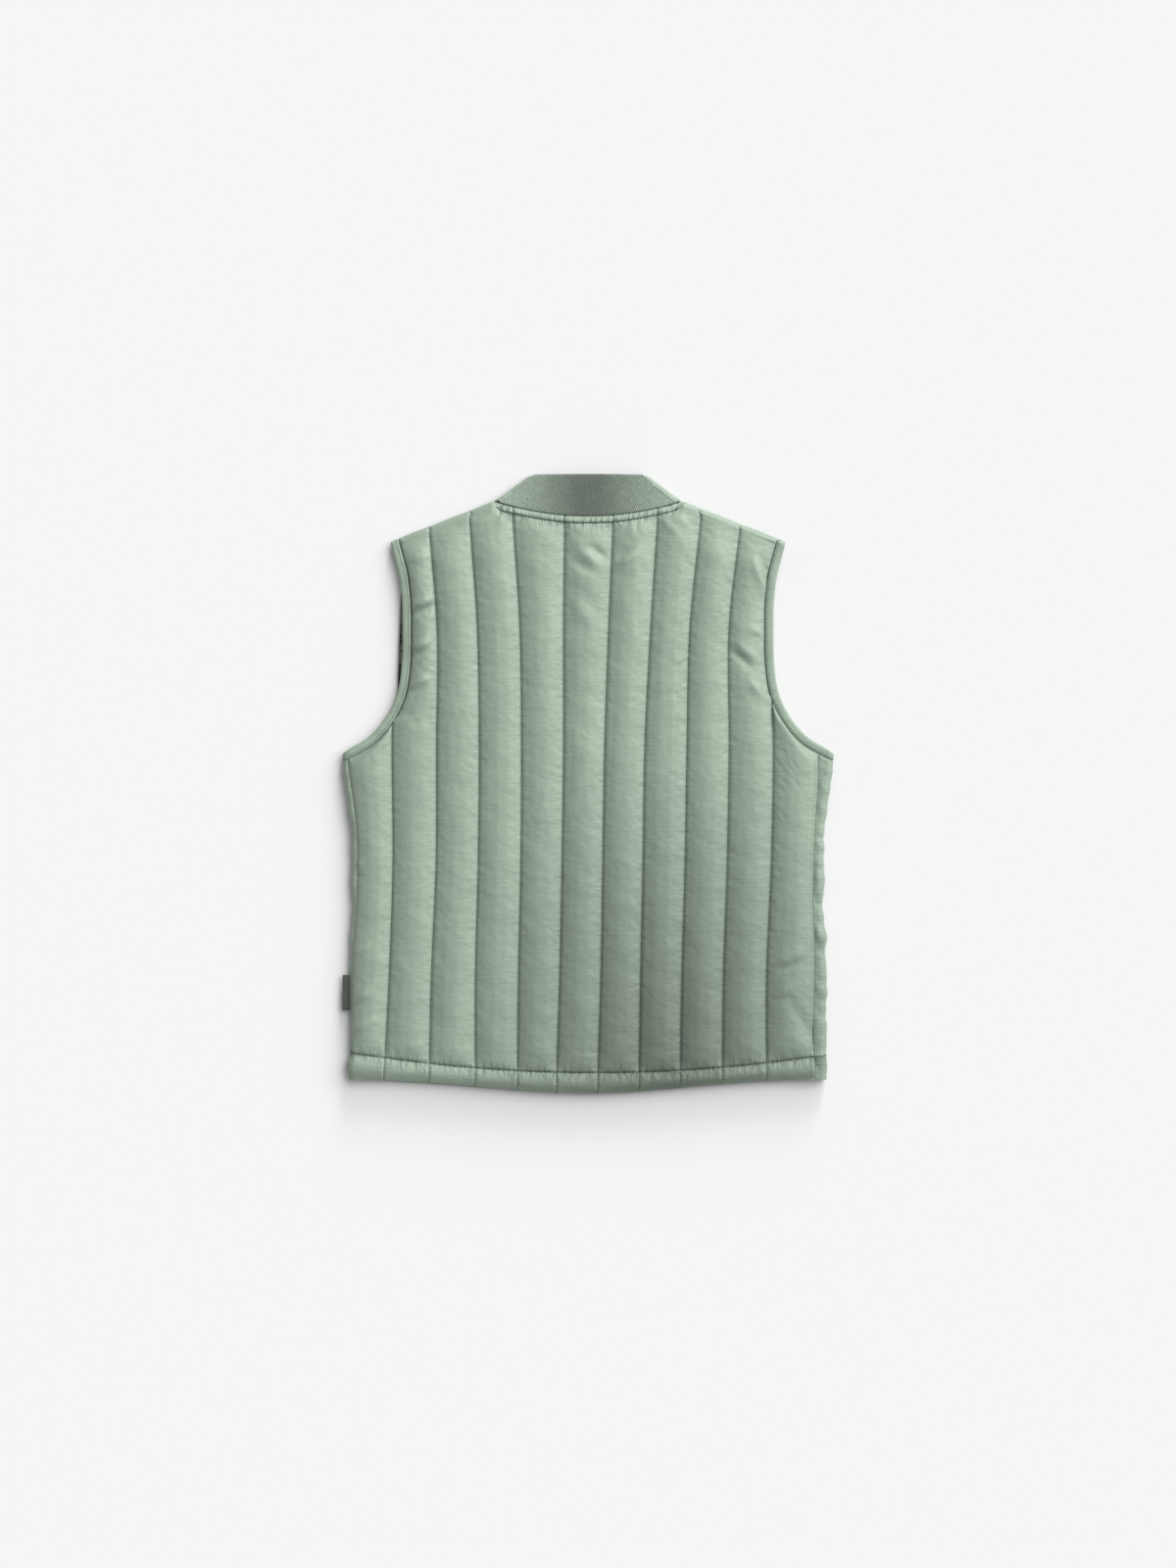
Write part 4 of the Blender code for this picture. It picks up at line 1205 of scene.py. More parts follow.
def seam_half_gap(side: Side) -> float:
    """Half the gap at a side seam, which is wider where the seam rolls under the edge."""
    return 0.09 if side is Side.LEFT else 0.03


def junction_arcs(side: Side) -> tuple[float, float]:
    """Arc distances of the seam and of the armhole's junction.

    Args:
        side: the side.

    Returns:
        The two distances round the fold.
    """
    point = CUT.armhole(CUT.along_at_height(JUNCTION[side]), BAND_INNER)
    seam = CUT.seam_arc(side, SIDE_TOP - BINDING)
    return float(seam) + seam_half_gap(side), float(arc_of_inset(CUT.inset_of(point), 1.0))


# The fronts.

OUTER_LAP = (1.4, 2.7)
INNER_LAP = (3.0, 4.3)
LAP = 10.0
LAP_ROOT = LAP + 2.0 * HALF_GAP
FRONT_LINES = (0.25, 0.5, 0.75, 1.0)
FRONT_STEPS = (0.0, 0.06, 0.14, 0.26, 0.42, 0.58, 0.74, 0.86, 0.94)
FRONT_JUNCTION = 54.0


def front_neck(x: Array | float) -> Array:
    """Height of the collar seam on the fronts."""
    share = np.minimum(np.abs(x) / CUT.neck_start[0], 1.0)
    return CUT.neck_start[1] - FRONT_NECK_DROP * np.sqrt(1.0 - share * share)


@dataclass
class FrontPanel:
    """A front: its thin overlap, its quilted flat, and its side, which wraps up to the seam on top."""

    side: Side
    body_rows: int = 56
    upper_rows: int = 26
    seed: int = 23
    groove: float = 1.5
    side_bulge: float = 1.15
    stitch_rise: float = 0.1
    paths: Paths = field(default_factory=list, init=False)

    @property
    def sign(self) -> int:
        """1 at the right and -1 at the left."""
        return self.side.value

    def shares(self) -> list[float]:
        """Shares of the way from the overlap to the line under the armhole, one for each column.

        Returns:
            The shares, rising.
        """
        ends = [(half - LAP) / (CUT.tip - LAP) for half in (66.0, SHOULDER_NECK[0] + HALF_GAP)]
        found = [(FRONT_LINES[k] - 0.25) + 0.25 * step for k in range(4) for step in FRONT_STEPS]
        found = [share for share in found if share > 0.012 and not ends[0] - 0.01 < share < ends[1] + 0.01]
        return sorted([*found, *ends, 1.0])

    def top(self, x: Array, heights: Array) -> Array:
        """Height of the front's upper face, which sinks towards its edges.

        Args:
            x: places across the front.
            heights: heights of the places.

        Returns:
            The face's heights over the floor.
        """
        half = np.abs(x)
        along = np.interp(heights, CUT.arm_heights, CUT.arm_samples)
        edge = CUT.armhole(along, BINDING)[..., 0]
        below = np.maximum(JUNCTION[Side.LEFT] - heights, 0.0)
        near_arm = np.hypot(np.maximum(edge - half, 0.0), below)
        far = np.where(heights > JUNCTION[Side.LEFT] - RAMP, np.minimum(RAMP, near_arm), RAMP)
        reach = CUT.half_width(np.minimum(heights, SIDE_TOP)) - SIDE_FOLD - half
        far = np.minimum(far, np.maximum(reach, 0.0))
        neck = np.maximum(front_neck(half) - heights, 0.0)
        far = np.where(half < CUT.neck_start[0] + 1.0, np.minimum(far, neck), far)
        over = np.maximum(CUT.shoulder_edge(half) - heights, 0.0)
        far = np.where(half > SHOULDER_NECK[0], np.minimum(far, over), far)
        return mix(WALL, FRONT_TOP, smooth(far / RAMP))

    def body_heights(self, x: float, top: float) -> Array:
        """Heights of the body's rows at a place across it."""
        return BackPanel(body_rows=self.body_rows).hem_heights(x, top)

    def steps(self) -> Array:
        """Shares of the way up from the junction to the neck or the shoulder."""
        return np.linspace(0.0, 1.0, self.upper_rows + 1)[1:]

    def lap_column(self, half: float, low: float, high: float | None) -> Column:
        """A column on the thin lap at the centre front, or at its root.

        Args:
            half: how far out the column stands, below 0 past the middle.
            low: height of the lap's lower face.
            high: height of its upper face, or None at the root.

        Returns:
            The wall's inside, the directions out of it and its thicknesses, up the column.
        """
        seam = float(front_neck(half)) - HALF_GAP
        body = self.body_heights(self.sign * half, FRONT_JUNCTION)
        upper = mix(FRONT_JUNCTION, seam - STRIP, self.steps())
        strip = seam - STRIP * np.array(STRIP_SHARES[1:])
        heights = np.concatenate([body, upper, strip])
        top = np.full(len(heights), high) if high else self.top(np.full(len(heights), half), heights)
        inside = spots(self.sign * half, heights, top)
        return inside, np.broadcast_to(DOWN, inside.shape), top - low

    def flat_column(self, share: float) -> Column:
        """A column on the flat of the front, up to the neck or round the shoulder's fold.

        Args:
            share: share of the way out to the line under the armhole.

        Returns:
            The wall's inside, the directions out of it and its thicknesses, up the column.
        """
        line = CUT.outermost(self.side)
        junction = JUNCTION[self.side]
        nominal = self.sign * mix(LAP, CUT.tip, share)
        start = mix(FRONT_JUNCTION, junction, share)
        body = self.body_heights(nominal, start)
        low_half = float(CUT.armhole(CUT.along_at_height(junction), BAND_INNER)[0])
        outer = np.abs(line(body))
        outer = mix(outer, low_half, smooth((body - start + 8.0) / 8.0))
        half = mix(LAP, outer, share)
        top_half = mix(LAP, CUT.tip, share)
        steps = self.steps()
        low = mix(LAP, low_half, share)
        folded = top_half > SHOULDER_NECK[0]
        end = (top_half, front_neck(top_half) - HALF_GAP - STRIP)
        if folded:
            end = self.shoulder_point(top_half)
        upper_half, upper = mix(low, end[0], steps), mix(start, end[1], steps)
        if share == 1.0:
            along = mix(CUT.along_at_height(junction), CUT.arm_length - TIP_FOLD, steps)
            edge = CUT.armhole(along, BAND_INNER)
            upper_half, upper = edge[:, 0], edge[:, 1]
        half = np.concatenate([half, upper_half])
        heights = np.concatenate([body, upper])
        top = self.top(half, heights)
        inside = spots(self.sign * half, heights, top)
        outward = np.broadcast_to(DOWN, inside.shape)
        ends = len(STRIP_SHARES) - 1
        if folded:
            angles = -np.array(FOLD_ANGLES[1:])
            fold, fold_out = CUT.on_shoulder(self.sign, np.full(ends, top_half), angles)
            thickness = np.concatenate([top, np.full(ends, WALL)])
        else:
            strip = front_neck(top_half) - HALF_GAP - STRIP * np.array(STRIP_SHARES[1:])
            level = self.top(np.full(ends, top_half), strip)
            fold = spots(self.sign * top_half, strip, level)
            fold_out = np.broadcast_to(DOWN, fold.shape)
            thickness = np.concatenate([top, level])
        return np.concatenate([inside, fold]), np.concatenate([outward, fold_out]), thickness

    def shoulder_point(self, half: float) -> tuple[float, float]:
        """Half width and height where the fold over the shoulder begins."""
        point = CUT.on_shoulder(1.0, half, 0.5 * math.pi)[0]
        return float(point[0]), float(point[1])

    def side_column(self, arc: float, rows: int) -> Column:
        """A column on the side, under the armhole or round the fold.

        Args:
            arc: its arc distance at the armhole.
            rows: how many rows the whole grid has.

        Returns:
            The wall's inside, the directions out of it and its thicknesses, up the column.
        """
        seam, junction_arc = junction_arcs(self.side)
        gap = seam_half_gap(self.side)
        point = CUT.armhole(CUT.along_at_inset(inset_of_arc(arc)), BAND_INNER)
        heights = self.body_heights(self.sign * 165.6, float(point[1]))
        half = CUT.half_width(np.minimum(heights, SIDE_TOP))
        if arc > -QUARTER:
            here = CUT.seam_arc(self.side, heights) - gap
            arcs = mix(-QUARTER, here, (arc + QUARTER) / (seam - 2.0 * gap + QUARTER))
        else:
            line = CUT.outermost(self.side)
            line_arc = arc_of_inset(half - np.abs(line(heights)), -1.0)
            arcs = mix(-QUARTER, line_arc, (arc + QUARTER) / (QUARTER - junction_arc))
        turned = float(arc_of_inset(CUT.inset_of(point), 1.0 if arc > 0 else -1.0))
        arcs = mix(arcs, turned, smooth((heights - point[1] + 8.0) / 8.0))
        inside, outward = CUT.on_side(self.sign, arcs, heights, 2 * SIDE_FOLD - WALL)
        x = self.sign * (half - inset_of_arc(arcs))
        top = self.top(x, heights)
        under = (arcs <= -QUARTER)[:, None]
        inside = np.where(under, spots(x, heights, top), inside)
        outward = np.where(under, DOWN, outward)
        thickness = np.where(under[:, 0], top, WALL)
        return lengthened((inside, outward, thickness), rows)

    def build(self) -> bpy.types.Object:
        """Builds the front.

        Returns:
            The closed piece.
        """
        low, high = OUTER_LAP if self.side is Side.LEFT else INNER_LAP
        laps = [(half, low, high) for half in (-LAP, -8.6, -5.0, 0.0, 5.0, LAP_ROOT)]
        parts = [self.lap_column(*lap) for lap in laps]
        parts.append(self.lap_column(LAP_ROOT + 0.5, 0.0, None))
        shares = self.shares()
        parts += [self.flat_column(share) for share in shares]
        rows = len(parts[0][0])
        seam, junction_arc = junction_arcs(self.side)
        first = len(parts)
        flat_arcs = np.linspace(-junction_arc, -QUARTER, 12)[1:]
        fold_arcs = np.linspace(-QUARTER, seam - 2.0 * seam_half_gap(self.side), 13)[1:]
        parts += [self.side_column(float(arc), rows) for arc in (*flat_arcs, *fold_arcs)]
        inside, outward, thickness = stacked(parts, 1)
        used = np.ones(inside.shape[:2], bool)
        junction = len(self.body_heights(0.0, 0.0)) - 1
        used[junction + 1 :, first:] = False
        cells = cells_between(used)
        wall = Wall.raised(inside, outward, thickness, used)
        outside = finer(wall.outside, used)
        direction = finer(outward, used)
        outside = outside + direction * self.worked(outside, direction)[..., None]
        outside[..., 2] = np.maximum(outside[..., 2], 0.0)
        raised = outside + self.stitch_rise * direction
        lines = [2 * (len(laps) + 1 + shares.index(share)) for share in FRONT_LINES]
        above = 2 * BackPanel().stitch_row
        end = len(raised) - 2 * len(STRIP_SHARES)
        stop = [end if line != lines[-1] else 2 * junction for line in lines]
        self.paths = [
            (raised[above + 4 : last, line], direction[above + 4 : last, line])
            for line, last in zip(lines, stop, strict=True)
        ]
        self.paths.append((raised[above, 12:], direction[above, 12:]))
        name = f"front_panel_{self.side.name.lower()}"
        marks = self.marks(outside, direction)
        return closed_sheet(name, cells, Wall(inside, direction, outside, used), marks=marks)

    def marks(self, outside: Array, direction: Array) -> dict[str, Array]:
        """Nearness to the seam round the side and to the hem's stitching.

        Args:
            outside: the outer face, on the doubled grid.
            direction: the directions out of it.

        Returns:
            The values for each point, by name.
        """
        x, y = outside[..., 0], outside[..., 1]
        turned = smooth((direction[..., 2] + 0.6) / 0.6)
        return {"near_line": 0.55 * turned, "near_row": np.exp(-np.abs(y - hem_stitch(x)) / 3.0)}

    def worked(self, outside: Array, direction: Array) -> Array:
        """Grooves along the lines pressed against the floor, and puckers round the side.

        Args:
            outside: the outer face, on the doubled grid.
            direction: the directions out of it.

        Returns:
            The lift at each point, in millimetres.
        """
        x, y, z = np.moveaxis(outside, -1, 0)
        half = np.abs(x)
        rng = np.random.default_rng(self.seed)
        line = CUT.outermost(self.side)
        outer = np.where(y < FRONT_JUNCTION, np.abs(line(y)), CUT.tip)
        flat = direction[..., 2] < -0.99
        lift = np.zeros_like(x)
        for share in FRONT_LINES:
            across = np.abs(half - mix(LAP, outer, share))
            ripples = 0.25 * waves(rng, y, (6.0, 9.0, 14.0)) * np.exp(-across / 4.0)
            lift -= (self.groove + ripples) * np.exp(-((across / 2.6) ** 1.5))
        hem = np.abs(y - hem_stitch(x))
        lift -= self.groove * np.exp(-((hem / 2.0) ** 1.5))
        neck = np.abs(front_neck(half) - STRIP - y)
        lift -= 0.8 * self.groove * np.exp(-((neck / 1.6) ** 1.5)) * (half < CUT.neck_start[0])
        lift = np.where(flat & (half > LAP + 1.0) & (z < 1.0), lift, 0.0)
        turn = smooth((direction[..., 2] + 0.9) / 0.9)
        inset = CUT.half_width(np.minimum(y, SIDE_TOP)) - half
        seam = CUT.inset[self.side](np.minimum(y, SIDE_TOP))
        swell = smooth((seam - inset) / 3.0)
        puckers = waves(rng, y + 0.5 * half, (13.0, 22.0, 34.0)) + 0.7 * waves(rng, y, (43.0, 61.0))
        end = smooth((y + 210.0) / 6.0) * smooth((SIDE_TOP - 4.0 - y) / 10.0)
        return lift + turn * swell * end * (self.side_bulge * 0.45 + self.side_bulge * puckers)


# The bindings round the armholes.

BAND_SHARES = (0.0, 0.06, 0.16, 0.32, 0.5, 0.66, 0.8, 0.9, 0.96, 1.0)


@dataclass
class ArmholeBinding:
    """A flat band round the armhole, folded over the shoulder tip and round the underarm."""

    side: Side
    steps: int = 64
    seed: int = 5
    cut_width: float = 10.0
    stitch_rise: float = 0.1
    stitch_floor: float = 0.3
    paths: Paths = field(default_factory=list, init=False)
    run: float = field(default=0.0, init=False)

    @property
    def sign(self) -> int:
        """1 at the right and -1 at the left."""
        return self.side.value

    def profile(self) -> Array:
        """Thickness of the band at each share of the way out to its edge.

        Returns:
            The thicknesses.
        """
        shares = np.array(BAND_SHARES)
        inner = BAND_EDGE + (1.0 - BAND_EDGE) * np.sqrt(1.0 - (1.0 - np.clip(shares / 0.3, 0.0, 1.0)) ** 2)
        outer = 0.45 + 0.55 * np.sqrt(1.0 - np.clip((shares - 0.72) / 0.28, 0.0, 1.0) ** 2)
        return WALL * inner * outer

    def band_row(self, along: float, side: int) -> Column:
        """The places across the band at a length along the armhole, on top or below.

        Args:
            along: the length.
            side: 1 on top and -1 below.

        Returns:
            The wall's inside, the directions out of it and its thicknesses, across the band.
        """
        shares = np.array(BAND_SHARES)
        thickness = self.profile()
        point = CUT.armhole(np.full(len(shares), along), BINDING * (1.0 - shares))
        arc = arc_of_inset(CUT.inset_of(point), side)
        arc = np.where(point[:, 1] < 40.0, arc, side * 2.0 * QUARTER)
        curved, out = CUT.on_side(self.sign, arc, point[:, 1], 0.0)
        if side > 0:
            level = np.full(len(shares), float(CUT.armhole_inside(along)))
            flat_out = np.array(UP)
        else:
            level = np.full(len(shares), WALL)
            flat_out = np.array(DOWN)
        flat = spots(self.sign * point[:, 0], point[:, 1], level)
        turned = (np.abs(arc) < QUARTER)[:, None]
        return np.where(turned, curved, flat), np.where(turned, out, flat_out), thickness

    def tip_row(self, angle: float) -> Column:
        """The places across the band on its fold over the shoulder tip.

        Args:
            angle: 90 degrees on top and -90 below, in radians.

        Returns:
            The wall's inside, the directions out of it and its thicknesses, across the band.
        """
        halves = SHOULDER_TIP[0] - BINDING * (1.0 - np.array(BAND_SHARES)) * CUT.shoulder_lean
        inside, out = CUT.on_shoulder(self.sign, halves, np.full(len(halves), angle))
        return inside, out, self.profile()

    def build(self) -> bpy.types.Object:
        """Builds the band.

        Returns:
            The closed ring.
        """
        seam, junction_arc = junction_arcs(self.side)
        start = float(CUT.along_at_height(JUNCTION[self.side]))
        up = np.linspace(start, CUT.arm_length - TIP_FOLD, self.steps)
        angles = [math.radians(angle) for angle in range(80, -81, -10)]
        arcs = np.linspace(-junction_arc, seam, 30)[1:]
        near = float(CUT.along_at_inset(inset_of_arc(seam)))
        rows = [self.band_row(float(along), 1) for along in up]
        rows += [self.tip_row(angle) for angle in angles]
        rows += [self.band_row(float(along), -1) for along in reversed(up)]
        rows += [
            self.band_row(float(CUT.along_at_inset(inset_of_arc(arc))), 1 if arc > 0 else -1) for arc in arcs
        ]
        rows += [self.band_row(float(along), 1) for along in np.linspace(near, start, 12)[1:-1]]
        rows.append(rows[0])
        inside, outward, thickness = stacked(rows, 0)
        rng = np.random.default_rng(self.seed + self.sign)
        middle = inside[:, 4] * (1.0, 1.0, 0.6)
        along = lengths_along(middle)
        puckers = 0.16 * waves(rng, along, (3.9, 5.7, 8.8))
        across = np.sin(math.pi * np.array(BAND_SHARES)) ** 0.8
        fade = np.minimum(smooth(along / 6.0), smooth((along[-1] - along) / 6.0))
        thickness = thickness + (puckers * fade)[:, None] * across
        used = np.ones(thickness.shape, bool)
        name = f"armhole_band_{self.side.name.lower()}"
        self.run = float(along[-1])
        wall = Wall.raised(inside, outward, thickness, used)
        wall.outside[..., 2] = np.maximum(wall.outside[..., 2], CLEARANCE)
        edge = 0.5 * (wall.outside[:, 2] + wall.outside[:, 3]) + self.stitch_rise * outward[:, 2]
        edge[:, 2] = np.maximum(edge[:, 2], self.stitch_floor)
        ditch = mix(wall.inside[:, 0], wall.outside[:, 0], 0.86)
        self.paths = [(edge, outward[:, 2]), (ditch, outward[:, 0])]
        marks = {mark: np.zeros(used.shape) for mark in ("near_line", "near_row")}
        return closed_sheet(name, used[1:, 1:], wall, ring=True, fine=False, marks=marks)


# The collar, the tab and the press studs.

COLLAR_WALL = 3.0
COLLAR_ARCH = 4.6
COLLAR_SEAM_ARCH = 0.6
COLLAR_FRONT_DROP = 47.0
COLLAR_SHARES = (0.0, 0.03, 0.08, 0.17, 0.28, 0.4, 0.52, 0.64, 0.75, 0.84, 0.91, 0.955, 0.98, 0.995, 1.0)


@dataclass
class Collar:
    """The rib collar, folded flat along its sides, with real wales up it."""

    stations: int = 250
    wale: float = 1.3
    wale_rise: float = 0.2
    cut_width: float = 27.0
    run: float = field(default=0.0, init=False)

    def edges(self, sign: int) -> Column:
        """Foot, head and outward direction of each station, from the centre front to the centre back.

        Args:
            sign: 1 at the right and -1 at the left.

        Returns:
            The feet, the heads and the directions.
        """
        corner = COLLAR_CORNER - NECK_FOLD * CUT.neck_out
        middle = NECK_FOLD - 0.5 * COLLAR_WALL
        start = CUT.neck_start
        angle = np.linspace(0.5 * math.pi, 0.0, self.stations)
        x = np.maximum(start[0] * np.cos(angle), HALF_GAP)
        foot_y = np.maximum(front_neck(x), start[1] - FRONT_NECK_DROP * np.sin(angle)) + HALF_GAP
        foot = spots(x, foot_y, 0.5 * COLLAR_WALL)
        foot[-1, 0] -= HALF_GAP
        head = spots(
            np.maximum(corner[0] * np.cos(angle), HALF_GAP),
            corner[1] - COLLAR_FRONT_DROP * np.sin(angle),
            0.5 * COLLAR_WALL,
        )
        out = np.broadcast_to(DOWN, foot.shape)
        parts = [(foot, head, out)]
        turn = np.linspace(-0.5 * math.pi, 0.5 * math.pi, 17)[1:-1]
        upwards = (COLLAR_CORNER - SHOULDER_NECK) / math.hypot(*(COLLAR_CORNER - SHOULDER_NECK))
        shift = CUT.neck_out * (middle * np.cos(turn))[:, None]
        climb = 3.8 * np.maximum(np.sin(turn), 0.0) + 1.5 * np.cos(turn)
        base = start + shift + climb[:, None] * upwards
        top = corner + shift
        rise = NECK_FOLD + middle * np.sin(turn)
        out = spots(CUT.neck_out[0] * np.cos(turn), CUT.neck_out[1] * np.cos(turn), np.sin(turn))
        parts.append((spots(base[:, 0], base[:, 1], rise), spots(top[:, 0], top[:, 1], rise), out))
        share = np.linspace(1.0, 0.0, self.stations)
        arch = np.cos(0.5 * math.pi * share)
        x = share * CORNER_X
        foot = spots(x, back_neck(x) + HALF_GAP, NECK_FOLD + middle + COLLAR_SEAM_ARCH * arch)
        top_y = COLLAR_CORNER[1] + (corner[1] - COLLAR_CORNER[1]) * smooth((share - 0.96) / 0.04)
        head = spots(share * (corner[0] + 0.9), top_y, NECK_FOLD + middle + COLLAR_ARCH * arch)
        parts.append((foot, head, np.broadcast_to(UP, foot.shape)))
        foot, head, out = (np.concatenate([part[k] for part in parts]) for k in range(3))
        mirror = np.array((sign, 1.0, 1.0))
        return foot * mirror, head * mirror, out * mirror

    def build(self) -> bpy.types.Object:
        """Builds the collar.

        Returns:
            The closed piece.
        """
        right, left = self.edges(1), self.edges(-1)
        foot, head, out = (np.concatenate([a, b[-2::-1]]) for a, b in zip(right, left, strict=True))
        shares = np.array(COLLAR_SHARES)
        middle = foot[:, None] + (head - foot)[:, None] * shares[:, None]
        edge = np.sqrt(1.0 - np.clip((shares - 0.93) / 0.07, 0.0, 1.0) ** 2)
        cloth = np.broadcast_to(COLLAR_WALL * (0.35 + 0.65 * edge), middle.shape[:2])
        outward = np.broadcast_to(out[:, None], middle.shape)
        inside = middle - 0.5 * cloth[..., None] * outward
        path = 0.5 * (foot + head)
        along = lengths_along(path)
        wales = self.wale_rise * np.cos(2.0 * math.pi * along / self.wale)
        thickness = cloth + (wales - self.wale_rise)[:, None] * edge
        used = np.ones(thickness.shape, bool)
        self.run = float(along[-1])
        wall = Wall.raised(inside, outward, thickness, used)
        return closed_sheet("rib_collar", used[1:, 1:], wall, fine=False)


@dataclass
class SideTab:
    """The bare tab: a strip of tape folded in two and caught in the left side seam."""

    low: float = -161.5
    high: float = -136.5
    reach: float = 5.0
    tape: float = 0.42
    opening: float = 0.08

    def build(self) -> bpy.types.Object:
        """Builds the folded tape.

        Returns:
            The closed piece.
        """
        root = -(float(CUT.half_width(0.5 * (self.low + self.high))) + 0.3)
        radius = self.opening
        end = root - self.reach + self.tape + radius
        turn = np.linspace(-0.5 * math.pi, -1.5 * math.pi, 9)
        path = [(x, -radius, 0.0, -1.0) for x in np.linspace(root, end, 5)[:-1]]
        path += [
            (end + radius * math.cos(a), radius * math.sin(a), math.cos(a), math.sin(a)) for a in turn
        ]
        path += [(x, radius, 0.0, 1.0) for x in np.linspace(end, root, 5)[1:]]
        x, z, out_x, out_z = np.array(path).T
        y = np.linspace(self.low, self.high, 15)[:, None]
        bend = 0.12 * np.sin((y - self.low) / (self.high - self.low) * 2.0 * math.pi)
        share = np.clip((root - x) / self.reach, 0.0, 1.0)
        inside = spots(x[None] + 0.0 * y, y, SIDE_FOLD + z[None] + bend * share)
        outward = spots(out_x[None] + 0.0 * y, 0.0, out_z[None] + 0.0 * y)
        used = np.ones(inside.shape[:2], bool)
        wall = Wall.raised(inside, outward, np.full(used.shape, self.tape), used)
        return closed_sheet("folded_tab", used[1:, 1:], wall, fine=False)


@dataclass
class PressStud:
    """The cap of a press stud, facing the floor, with a rolled rim and a dished middle."""

    number: int
    height: float
    radius: float = 5.5
    depth: float = 1.05
    segments: int = 36

    def build(self) -> bpy.types.Object:
        """Turns the cap from its profile.

        Returns:
            The closed piece.
        """
        profile = (
            (0.0, self.depth),
            (self.radius - 0.9, self.depth),
            (self.radius - 0.25, 0.93),
            (self.radius, 0.62),
            (self.radius - 0.12, 0.3),
            (self.radius - 0.5, 0.06),
            (self.radius - 1.0, 0.0),
            (self.radius - 1.5, 0.1),
            (self.radius - 1.9, 0.3),
            (self.radius - 2.8, 0.34),
            (0.0, 0.26),
        )
        bm = bmesh.new()
        verts = [bm.verts.new((x * MM, self.height * MM, z * MM)) for x, z in profile]
        edges = [bm.edges.new(pair) for pair in zip(verts, verts[1:])]
        bmesh.ops.spin(
            bm,
            geom=[*verts, *edges],
            cent=(0.0, self.height * MM, 0.0),
            axis=UP,
            angle=2.0 * math.pi,
            steps=self.segments,
            use_merge=True,
        )
        bmesh.ops.remove_doubles(bm, verts=list(bm.verts), dist=0.01 * MM)
        bmesh.ops.recalc_face_normals(bm, faces=list(bm.faces))
        return write_mesh(f"stud_cap_{self.number}", bm)


SNAP_HEIGHTS = (122.0, 48.0, -26.0, -100.0, -174.0)


# Stitches.


@dataclass
class Stitching:
    """Rows of single stitches, each a short plump thread lying along its line."""

    name: str
    pitch: float = 2.2
    stitch: float = 1.55
    thread: float = 0.27

    def template(self) -> bpy.types.Mesh:
        """One stitch, along X at the origin.

        Returns:
            Its mesh.
        """
        bm = bmesh.new()
        bmesh.ops.create_uvsphere(bm, u_segments=6, v_segments=4, radius=1.0)
        turn = Matrix.Rotation(0.5 * math.pi, 3, "Y")
        bmesh.ops.rotate(bm, matrix=turn, verts=list(bm.verts))
        for vert in bm.verts:
            vert.co.x = math.copysign(abs(vert.co.x) ** 0.6, vert.co.x)
        size = (0.5 * self.stitch * MM, self.thread * MM, self.thread * MM)
        bmesh.ops.scale(bm, vec=size, verts=list(bm.verts))
        mesh = bpy.data.meshes.new("stitch")
        bm.to_mesh(mesh)
        bm.free()
        return mesh

    def build(self, paths: Paths) -> bpy.types.Object:
        """Sews along each path.

        Args:
            paths: points along each row, and the directions out of the cloth there.

        Returns:
            All the rows as one piece.
        """
        template = self.template()
        whole = bmesh.new()
        for points, outward in paths:
            row = self.sew(template, points, outward)
            whole.from_mesh(row)
            bpy.data.meshes.remove(row)
        bpy.data.meshes.remove(template)
        return write_mesh(self.name, whole)

    def sew(self, template: bpy.types.Mesh, points: Array, outward: Array) -> bpy.types.Mesh:
        """Makes one row of stitches.

        Args:
            template: one stitch.
            points: points along the row.
            outward: the directions out of the cloth there.

        Returns:
            The row's mesh.
        """
        along = lengths_along(points)
        places = np.arange(0.5 * self.pitch, along[-1] - 0.3 * self.pitch, self.pitch)
        reach = 0.5 * self.stitch

        def at(values: Array, where: Array) -> Array:
            """Reads values that are given at the points at other lengths along the row."""
            return np.stack([np.interp(where, along, values[:, k]) for k in range(3)], axis=-1)

        middle, up = at(points, places), at(outward, places)
        ahead = at(points, places + reach) - at(points, places - reach)
        bm = bmesh.new()
        count = 0
        for spot, run, out in zip(middle, ahead, up, strict=True):
            bm.from_mesh(template)
            bm.verts.ensure_lookup_table()
            fresh = bm.verts[count:]
            count = len(bm.verts)
            x_axis = Vector(run.tolist()).normalized()
            y_axis = Vector(out.tolist()).cross(x_axis).normalized()
            turn = Matrix((x_axis, y_axis, x_axis.cross(y_axis))).transposed().to_4x4()
            turn.translation = Vector(spot.tolist()) * MM
            bmesh.ops.transform(bm, matrix=turn, verts=fresh)
        row = bpy.data.meshes.new("row")
        bm.to_mesh(row)
        bm.free()
        return row


